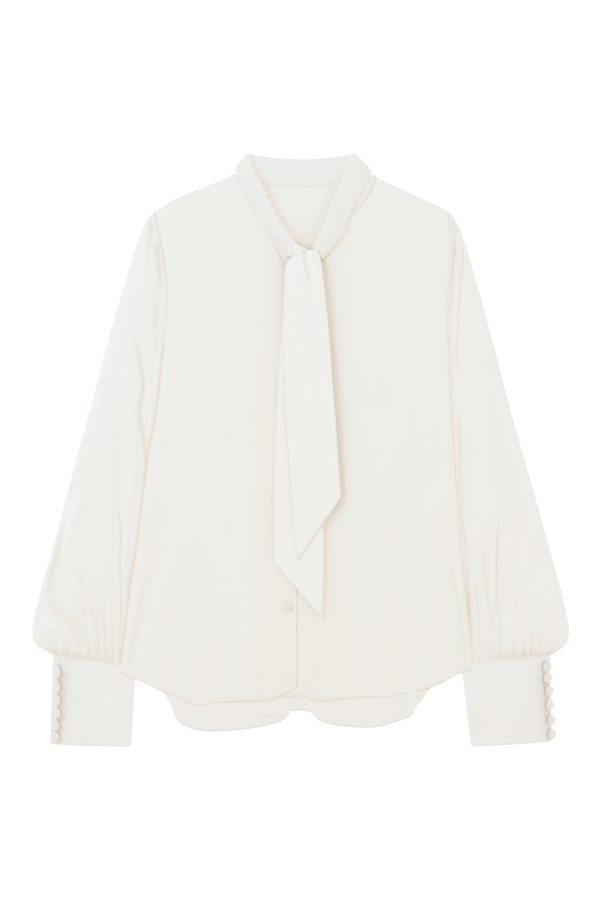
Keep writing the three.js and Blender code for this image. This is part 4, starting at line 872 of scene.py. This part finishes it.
def sleeve_shape(stations, folds, side_at, crease, outward, seed):
    table = np.array(stations, float)
    middle = (table[:, 0:2] + table[:, 2:4]) / 2
    steps = np.hypot(*np.diff(middle, axis=0).T)
    lengths = np.concatenate([[0], np.cumsum(steps)])
    rows = [(lengths[i], *table[i]) for i in range(len(table))]
    curves = [curve(rows, 0, k) for k in range(1, 8)]
    whole = lengths[-1]
    open_at = curve(crease)
    head_x, head_y, arm_x, arm_y = table[0, :4]

    def place(u, v):
        at = whole * (1 - (1 - v) ** 1.3)
        out_x, out_y, in_x, in_y, edge, crown, seam = [c(at) for c in curves]
        width = np.hypot(in_x - out_x, in_y - out_y)
        height = whole - at
        share = np.where(
            u < TOP_END, u / TOP_END,
            np.where(u < TURN_END, 1,
                     np.where(u < UNDER_END, (UNDER_END - u) / (UNDER_END - TURN_END), 0)),
        )
        flat = width - edge - INNER_FOLD
        turn_in = np.clip((u - TOP_END) / (TURN_END - TOP_END), 0, 1)
        turn_out = np.clip((u - UNDER_END) / (1 - UNDER_END), 0, 1)
        angle_in = math.pi / 2 * (1 - 2 * turn_in)
        angle_out = math.pi / 2 * (2 * turn_out - 1)
        reach = edge + share * flat
        reach = np.where((u >= TOP_END) & (u < TURN_END),
                         width - INNER_FOLD + INNER_FOLD * np.cos(angle_in), reach)
        reach = np.where(u >= UNDER_END, edge - edge * np.cos(angle_out), reach)
        part = reach / width
        x = out_x + (in_x - out_x) * part
        y = out_y + (in_y - out_y) * part
        armhole_y = np.clip(y, arm_y, head_y)
        chord_x = head_x + (arm_x - head_x) * (armhole_y - head_y) / (arm_y - head_y)
        x = x + (side_at(armhole_y) + 0.1 * outward - chord_x) * seam

        outside = (x - side_at(y)) * outward
        opened = open_at(y)
        parted = smooth((outside - 0.3) / (RISE * (0.35 + 0.65 * opened)))
        arch = np.minimum(np.sin(math.pi * np.clip(share, 0, 1)) ** 0.6, parted)
        top = BACK_Z + 2 * (edge + (INNER_FOLD - edge) * smooth(share)) + crown * arch
        closed = (1 - opened) * np.exp(-((outside - 2.5) / 4) ** 2) * smooth((130 - y) / 30)
        top = top + 1.6 * closed * smooth((outside + 0.5) / 2)
        free = smooth(share / 0.05) * smooth((outside + 0.5) / 4)
        near_cuff = 1 - smooth(height / 15)
        bend = folded(x, y, folds) * (1 - 0.4 * near_cuff)
        drawn = gathers(share, height, width, seed)
        loose = 0.25 * ripple(x, y * 0.5, 34, seed + 1) + 0.12 * ripple(x, y * 0.6, 15, seed + 2)
        head = np.exp(-((at - 7) / 8) ** 2) * smooth((y - 190) / 40)
        tucks = 0.45 * np.sin(y * 1.25 + 2 * np.sin(y * 0.21)) * head
        top = top + (bend + drawn + loose * smooth(height / 30) + tucks) * free
        cuff_top = CUFF_MIDDLE + 2 * CUFF_OUTER_FOLD
        drop = 1 - smooth(height / SEAM_DROP)
        top = top * (1 - drop) + (cuff_top + 0.1 + 0.26 * drawn * free) * drop
        tucked = np.clip(1 - height / SEAM_TUCK, 0, 1)
        top = top * (1 - tucked) + (cuff_top - 0.2) * tucked
        top = np.maximum(top, BACK_Z + 2 * INNER_FOLD)

        low = BACK_Z + 1.6 * tucked
        z = np.where(u < TOP_END, top, low)
        z = np.where((u >= TOP_END) & (u < TURN_END),
                     low + (top - low) * (0.5 + 0.5 * np.sin(angle_in)), z)
        outer_turn = (edge + edge * np.sin(angle_out)) * (1 - 0.3 * tucked)
        z = np.where(u >= UNDER_END, low + outer_turn, z)
        round_it = np.where(u < TOP_END, reach, 2 * width - reach)
        # Painted shade in the troughs of the sleeve's folds
        trough_shade = np.where(u < TOP_END, np.clip(-bend / 5, 0, 1) * free, 0)
        return {
            "xyz": (x, y, z), "weave": (round_it, at), "values": {"crease": trough_shade},
        }

    return place


# Cuffs
def cuff_path():
    """The cuff's section: place u, millimetres from the outer fold, share of the width, level,
    share of the slit's own place."""
    low = CUFF_MIDDLE
    outer, inner = CUFF_OUTER_FOLD, CUFF_INNER_FOLD
    strip = low + 2 * outer
    lap = strip + CUFF_LAP_LIFT
    rows = [(0, 0, 0, lap - 0.5, 1), (CUFF_EDGE_END, -0.5, 0, lap, 1)]
    rows += [(CUFF_EDGE_END + (CUFF_TOP_END - CUFF_EDGE_END) * t, -inner * t, t,
              strip + CUFF_LAP_LIFT * (1 - smooth(t / 0.4))
              + (2 * inner - 2 * outer) * t + 0.7 * math.sin(math.pi * t), 1 - t)
             for t in np.linspace(0.06, 1, 24)]
    for i in range(1, 8):
        angle = math.pi / 2 - math.pi * i / 7
        rows.append((CUFF_TOP_END + 0.006 * i, -inner + inner * math.cos(angle), 1,
                     low + inner + inner * math.sin(angle), 0))
    rows.append((CUFF_UNDER_END, outer, 0, low, 0))
    for i in range(1, 8):
        angle = -math.pi / 2 + math.pi * i / 7
        rows.append((CUFF_UNDER_END + 0.006 * i, outer - outer * math.cos(angle), 0,
                     low + outer + outer * math.sin(angle), 0))
    rows += [(0.96, -3, 0, strip, 1), (1, CUFF_LAP, 0, strip, 1)]
    return np.array(rows, float)


def cuff_shape(corners, slit, folds, buttons):
    path = cuff_path()
    out_top, in_top, out_end, in_end, outward = corners

    def place(u, v):
        reach_mm = np.interp(u, path[:, 0], path[:, 1])
        reach_mm += np.interp(u, path[:, 0], path[:, 4]) * (slit[0] + (slit[1] - slit[0]) * v)
        reach_share = np.interp(u, path[:, 0], path[:, 2])
        z = np.interp(u, path[:, 0], path[:, 3])
        out_x = out_top[0] + (out_end[0] - out_top[0]) * v
        out_y = out_top[1] + (out_end[1] - out_top[1]) * v
        in_x = in_top[0] + (in_end[0] - in_top[0]) * v
        in_y = in_top[1] + (in_end[1] - in_top[1]) * v
        width = np.hypot(in_x - out_x, in_y - out_y)
        part = (reach_mm + reach_share * width) / width
        x = out_x + (in_x - out_x) * part
        y = out_y + (in_y - out_y) * part
        bow = 4 * part * (1 - part)
        y = y + (1.4 * (1 - v) - 0.6 * v) * bow + 1.2 * (1 - smooth(v / 0.1))
        off_side = np.minimum(part, 1 - part) * width
        off_end = (1 - v) * CUFF_LENGTH
        cut = np.clip(1 - off_side / CUFF_CORNER, 0, 1)
        y = y + CUFF_CORNER * (1 - np.sqrt(1 - cut ** 2)) * np.clip(1 - off_end / 12, 0, 1)
        on_top = (u < CUFF_TOP_END) * smooth(part / 0.15) * smooth((1 - part) / 0.06)
        end_soft = smooth(v / 0.05) * smooth((1 - v) / 0.05)
        z = z + folded(x, y, folds) * on_top * end_soft
        z = z + 0.12 * ripple(x, y, 30, 21) * on_top
        loops = np.cos((y + 266) * 2 * math.pi / LOOP_PITCH)
        z = z + 0.25 * loops * np.exp(-(u / 0.06) ** 2) * (u < 0.3)
        pressed = 0.4 * (np.clip(1 - v / 0.02, 0, 1) + np.clip(1 - (1 - v) / 0.02, 0, 1))
        z = z - pressed * (u < CUFF_TOP_END)
        # Painted shadow: dark crescents on the cuff beside the inner edge of each button
        shade = np.zeros(x.shape)
        for button_x, button_y, radius, tilt in buttons:
            wide = radius * math.cos(math.radians(tilt)) + 0.4
            away = np.hypot((x - button_x) / wide, (y - button_y) / radius)
            inside = smooth(((button_x - x) * outward + 1) / 3)
            shade = np.maximum(shade, 1.5 * smooth((1.34 - away) / 0.2) * inside)
        return {
            "xyz": (x, y, z), "weave": (reach_mm + reach_share * width, v * CUFF_LENGTH),
            "values": {"crease": shade},
        }

    return place


# Collar and tie
def collar_front_shape(rows, seed):
    """A rolled strip: thick along its fold, thin along its outer edge, closed all round."""
    curves = along_rows(rows)

    def place(u, v):
        fold_x, fold_y, edge_x, edge_y = [c(v * (len(rows) - 1)) for c in curves]
        angle = 2 * math.pi * u
        closing = np.sqrt(np.clip(1 - np.clip((v - 0.965) / 0.035, 0, 1) ** 2, 0, 1))
        share = 0.5 - 0.5 * np.cos(angle) * (0.74 + 0.26 * closing)
        thick = 3.3 * (1 - share) ** 0.8 + 1.0
        knot = smooth(v / 0.10)
        side = np.sin(angle)
        round_up = np.sign(side) * np.abs(side) ** 0.62
        middle = 6.4 + 0.6 * np.sin(v * 5) - 1.2 * share
        z = middle + thick * round_up * (0.15 + 0.85 * closing) * (0.75 + 0.25 * knot)
        x = fold_x + (edge_x - fold_x) * share
        y = fold_y + (edge_y - fold_y) * share
        above = (u < 0.5) * smooth(np.sin(angle))
        wave = 0.5 * np.sin(share * 7 + v * 9 + seed) * above
        pinch = (1 - smooth(v / 0.16)) * 1.3 * np.cos(share * 13 + seed) * above
        z = z + wave + pinch
        span = np.hypot(edge_x - fold_x, edge_y - fold_y)
        across = share * span * np.where(u < 0.5, 1, -1)
        return {"xyz": (x, y, z), "weave": (across, v * ROLL_LENGTH)}

    return place


def collar_back(u, v):
    height, dip, level, left, right = along_rows(COLLAR_BACK)
    at = v * (len(COLLAR_BACK) - 1)
    x = left(at) + (right(at) - left(at)) * u
    bend = 4 * u * (1 - u)
    y = height(at) + dip(at) * bend
    z = level(at) + 0 * u
    shown = smooth(at / 1.5) * smooth((5 - at) / 1.5)
    seam = np.exp(-((x + 5.6) / 0.9) ** 2)
    z = z - 0.7 * seam * shown + 0.3 * np.exp(-((x + 3.2) / 1.2) ** 2) * shown
    z = z + 0.5 * ripple(x, y, 26, 31) * shown
    z = z + folded(x, y, [(-0.8, 6, 5, 6, 6, [(-34, 341), (-25, 334), (-16, 331)]),
                          (0.8, 4, 4, 6, 6, [(-30, 333), (-22, 327), (-14, 325)]),
                          (-0.5, 5, 5, 6, 6, [(8, 340), (20, 334), (34, 331)])]) * shown
    return {"xyz": (x, y, np.maximum(z, 0.45)), "weave": (x, at * 6)}


def neckband_shape(rows, neck, lowest, outward):
    neckline = curve(sorted(neck, key=lambda p: p[1]), 1, 0)
    fold = curve(sorted(((row[1], row[0]) for row in rows)), 0, 1)

    def place(u, v):
        y = lowest + (331 - lowest) * v
        inner = fold(y) + outward * 6
        outer = neckline(y) + outward * 0.9
        x = inner + (outer - inner) * u
        z = BACK_Z + LAYER + 0.42 + 1.5 * (1 - u) + 0.35 * np.sin(u * 3.1)
        return {"xyz": (x, y, z), "weave": (x, y)}

    return place


def tail_shape(rows, folds, seed, tube=3.0):
    """A tie end: a flat tube of cloth whose two edges are folds."""
    curves = along_rows(rows)

    def place(u, v):
        left_x, left_y, right_x, right_y, level = [c(v * (len(rows) - 1)) for c in curves]
        angle = 2 * math.pi * u
        share = 0.5 - 0.5 * np.cos(angle)
        width = np.hypot(right_x - left_x, right_y - left_y)
        x = left_x + (right_x - left_x) * share
        y = left_y + (right_y - left_y) * share
        side = np.sin(angle)
        inset = np.minimum(share, 1 - share) * width
        half = (tube / 2) * np.sqrt(np.clip(1 - np.clip(1 - inset / TIE_EDGE, 0, 1) ** 2, 0, 1))
        ending = np.sqrt(np.clip(1 - np.clip((v - 0.985) / 0.015, 0, 1) ** 2, 0.02, 1))
        z = level + np.sign(side) * half * ending
        above = (side > 0) * smooth(inset / 2)
        z = z + (folded(x, y, folds) + 0.45 * ripple(x, y * 0.4, 40, seed)) * above
        return {"xyz": (x, y, z), "weave": (share * width * np.where(u < 0.5, 1, -1), y)}

    return place


# Buttons and loops
def domed_button(radius, height, place, tilt):
    """A cloth-covered button: its dome, its rolled rim and its gathered back, spun in one."""
    profile = [
        (0, height), (radius * 0.35, height * 0.96), (radius * 0.66, height * 0.82),
        (radius * 0.88, height * 0.56), (radius, height * 0.24), (radius * 0.97, 0),
        (radius * 0.8, -height * 0.16), (radius * 0.45, -height * 0.2), (0, -height * 0.2),
    ]
    bm = bmesh.new()
    verts = [bm.verts.new((r, 0, h)) for r, h in profile]
    edges = [bm.edges.new(pair) for pair in zip(verts[:-1], verts[1:])]
    bmesh.ops.spin(
        bm, geom=[*verts, *edges], cent=(0, 0, 0), axis=(0, 0, 1), angle=2 * math.pi,
        steps=32, use_merge=True,
    )
    bmesh.ops.remove_doubles(bm, verts=bm.verts, dist=1e-4)
    bmesh.ops.recalc_face_normals(bm, faces=bm.faces)
    turn = Matrix.Translation(place) @ Matrix.Rotation(tilt, 4, "Y")
    bmesh.ops.transform(bm, matrix=turn, verts=bm.verts)
    return bm


LOOP_REACH = 5.9  # from a loop's middle to the middle of its cord
LOOP_CORD = 0.62  # radius


def rouleau_loop(centre, outward):
    """A loop of turned cloth, from the slit's edge round the button's stem."""
    bm = bmesh.new()
    ring = bmesh.ops.create_circle(bm, segments=8, radius=LOOP_CORD, cap_ends=False)["verts"]
    stand = Matrix.Translation((0, LOOP_REACH, 0)) @ Matrix.Rotation(math.pi / 2, 4, "Y")
    bmesh.ops.transform(bm, matrix=stand, verts=ring)
    bmesh.ops.spin(
        bm, geom=[*bm.verts, *bm.edges], cent=(0, 0, 0), axis=(0, 0, 1),
        angle=-math.pi * outward, steps=16,
    )
    bmesh.ops.remove_doubles(bm, verts=bm.verts, dist=1e-4)
    bmesh.ops.holes_fill(bm, edges=[edge for edge in bm.edges if edge.is_boundary], sides=10)
    bmesh.ops.recalc_face_normals(bm, faces=bm.faces)
    bmesh.ops.transform(bm, matrix=Matrix.Translation(centre), verts=bm.verts)
    return bm


# Assembly
NECK_LEFT = [(-80, 332.4), *FRONT_NECK[:4]]
NECK_RIGHT = [*FRONT_NECK[6:], (89.2, 326)]
SHOWN_BUTTON_Z, HIDDEN_BUTTON_Z = 5.0, 4.45
SHOWN_BUTTON_HEIGHT, HIDDEN_BUTTON_HEIGHT = 1.9, 1.5
CUFF_BUTTON_DOME = 0.42  # height over radius
HIDDEN_BUTTONS_Y = (-90.4, 7.6, 105.6)
CUFF_BUTTON_Z, LOOP_Z = 5.4, 6.4

# Each row of cloth: name, squares across and along, shape, finish, and for the collar and tie
# whether the grid closes into a tube
for name, across, along, shape, finish in (
    ("back_panel", 150, 220, back, PANEL),
    ("back_hem_pleat", 40, 30, hem_pleat, PANEL),
    ("right_front_panel", 96, 270, right_front, PANEL),
    ("left_front_panel", 110, 270, left_front, PANEL),
):
    cloth(name, across, along, shape, WALL, finish)
for side, stations, folds, side_at, crease, outward, seed in (
    ("right", RIGHT_SLEEVE, RIGHT_SLEEVE_FOLDS, SIDE_LEFT, RIGHT_CREASE, -1, 40),
    ("left", LEFT_SLEEVE, LEFT_SLEEVE_FOLDS, SIDE_RIGHT, LEFT_CREASE, 1, 50),
):
    shape = sleeve_shape(stations, folds, side_at, crease, outward, seed)
    cloth(f"{side}_sleeve_tube", 168, 285, shape, WALL, SLEEVE, closed=True)
for side, corners, slit, folds, buttons in (
    ("right", RIGHT_CUFF, RIGHT_SLIT, RIGHT_CUFF_FOLDS, RIGHT_CUFF_BUTTONS),
    ("left", LEFT_CUFF, LEFT_SLIT, LEFT_CUFF_FOLDS, LEFT_CUFF_BUTTONS),
):
    shape = cuff_shape(corners, slit, folds, buttons)
    cloth(f"{side}_cuff_band", 200, 96, shape, CUFF_WALL, CUFF)
for name, across, along, shape, finish, closed in (
    ("collar_stand", 110, 60, collar_back, PRESSED, False),
    ("right_collar_roll", 60, 130, collar_front_shape(RIGHT_COLLAR, 0.4), PRESSED, True),
    ("left_collar_roll", 60, 130, collar_front_shape(LEFT_COLLAR, 2.0), PRESSED, True),
    ("right_neckband", 12, 60, neckband_shape(RIGHT_COLLAR, NECK_LEFT, 222, -1), PRESSED, False),
    ("left_neckband", 12, 60, neckband_shape(LEFT_COLLAR, NECK_RIGHT, 236, 1), PRESSED, False),
    ("tie_front_tail", 90, 210, tail_shape(FRONT_TAIL, FRONT_TAIL_FOLDS, 61, 2.4), TIE, True),
    ("tie_rear_tail", 60, 170, tail_shape(REAR_TAIL, [], 62, 1.2), TIE, True),
    ("knot_band", 36, 30, tail_shape(KNOT_BAND, [], 63, 2.6), TIE, True),
    ("collar_rolled_end", 36, 36, tail_shape(ROLLED_END, [], 64, 5.0), PRESSED, True),
):
    cloth(name, across, along, shape, TIE_WALL, finish, closed)


def covered_button(name, replaced, radius, height, place, tilt=0):
    button = solid(name, domed_button(radius, height, Vector(place), tilt), COVER)
    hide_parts(replaced)


front_x, front_y = BUTTON_PLACE
covered_button("front_button", "button_front_1", BUTTON_RADIUS, SHOWN_BUTTON_HEIGHT,
               (front_x, front_y, SHOWN_BUTTON_Z))
for i, y in enumerate(HIDDEN_BUTTONS_Y, 2):
    covered_button(f"front_button_{i}", f"button_front_{i}", BUTTON_RADIUS,
                   HIDDEN_BUTTON_HEIGHT, (front_x, y, HIDDEN_BUTTON_Z))
for side, places, outward in (
    ("right", RIGHT_CUFF_BUTTONS, RIGHT_CUFF[4]), ("left", LEFT_CUFF_BUTTONS, LEFT_CUFF[4]),
):
    for i, (x, y, radius, tilt) in enumerate(places, 1):
        lean = math.radians(tilt)
        covered_button(
            f"{side}_cuff_button_{i}", f"button_cuff_{side}_{i}", radius,
            radius * CUFF_BUTTON_DOME,
            (x - outward * 0.7, y, CUFF_BUTTON_Z + radius * math.sin(lean) * 0.7), outward * lean,
        )
        loop = rouleau_loop(Vector((x - outward * 1.4, y, LOOP_Z)), outward)
        solid(f"{side}_cuff_loop_{i}", loop, LOOP)

# Sheets: name, node that it stands for, flat size and area in metres, what it rests on, and the
# pieces that belong to it. Only the node is read here: its part from model.glb is hidden.
CUFF_LOOPS = {side: [f"{side}_cuff_loop_{i}" for i in range(1, 7)] for side in ("right", "left")}
for name, replaced, flat, area, rests, parts in (
    ("back_panel", "back", (0.43, 0.69), 0.25, ["stage_table"], ["back_hem_pleat"]),
    ("right_front_panel", "front_right", (0.22, 0.64), 0.12, ["back_panel"], ()),
    ("left_front_panel", "front_left", (0.24, 0.64), 0.135, ["back_panel"], ()),
    ("right_sleeve_tube", "sleeve_right", (0.28, 0.55), 0.12, ["stage_table"], ()),
    ("left_sleeve_tube", "sleeve_left", (0.28, 0.55), 0.12, ["stage_table"], ()),
    ("right_cuff_band", "cuff_right", (0.225, 0.1), None, ["stage_table"], CUFF_LOOPS["right"]),
    ("left_cuff_band", "cuff_left", (0.225, 0.1), None, ["stage_table"], CUFF_LOOPS["left"]),
    ("collar_stand", "collar_back", (0.11, 0.06), None, ["back_panel"], ()),
    ("right_collar_roll", "collar_right", (0.045, 0.125), None, ["right_front_panel"],
     ["collar_rolled_end"]),
    ("left_collar_roll", "collar_left", (0.045, 0.125), None, ["left_front_panel"], ()),
    ("right_neckband", "neckband_right", (0.02, 0.09), None, ["right_front_panel"], ()),
    ("left_neckband", "neckband_left", (0.024, 0.1), None, ["left_front_panel"], ()),
    ("tie_front_tail", "tie_front", (0.116, 0.36), None, ["tie_rear_tail"], ["knot_band"]),
    ("tie_rear_tail", "tie_rear", (0.1, 0.42), None, ["right_front_panel", "left_front_panel"],
     ()),
):
    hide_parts(replaced)


# Stage, light and camera
TABLE_LEVEL = -0.0004  # metres


def stage_table():
    bm = bmesh.new()
    bmesh.ops.create_grid(bm, x_segments=2, y_segments=2, size=4.0)
    bmesh.ops.translate(bm, verts=bm.verts, vec=(0, 0, TABLE_LEVEL))
    mesh = bpy.data.meshes.new("stage_table")
    bm.to_mesh(mesh)
    bm.free()
    material = bpy.data.materials.new("white_table")
    material.use_nodes = True
    feed(material.node_tree.nodes["Principled BSDF"], {
        "Base Color": (0.50, 0.52, 0.55, 1), "Roughness": 0.9,
        "Emission Color": (0.97, 0.98, 1.0, 1), "Emission Strength": 0.57,
    })
    mesh.materials.append(material)
    table = bpy.data.objects.new("stage_table", mesh)
    bpy.context.scene.collection.objects.link(table)


def soft_box(name, place, size, power, colour):
    data = bpy.data.lights.new(name, "AREA")
    data.size = size
    data.energy = power
    data.color = colour
    light = bpy.data.objects.new(name, data)
    light.location = place
    light.rotation_euler = (-Vector(place)).to_track_quat("-Z", "Y").to_euler()
    bpy.context.scene.collection.objects.link(light)


def studio():
    world = bpy.data.worlds.new("studio")
    world.use_nodes = True
    feed(world.node_tree.nodes["Background"],
         {"Color": (1.0, 0.916, 0.857, 1), "Strength": 0.99})
    bpy.context.scene.world = world
    soft_box("key_light", (-1.6, 1.1, 1.5), 0.8, 12.5, (0.2, 0.68, 1.0))
    soft_box("side_light", (1.9, 0.1, 1.2), 1.0, 4.4, (0.3, 0.76, 1.0))
    bpy.context.scene.view_settings.view_transform = "Standard"


def camera():
    data = bpy.data.cameras.new("camera")
    data.lens = 100.0
    data.sensor_width = 36.0
    eye = bpy.data.objects.new("camera", data)
    eye.location = (-0.0012, 0.0006, 3.005)
    bpy.context.scene.collection.objects.link(eye)
    bpy.context.scene.camera = eye


stage_table()
studio()
camera()
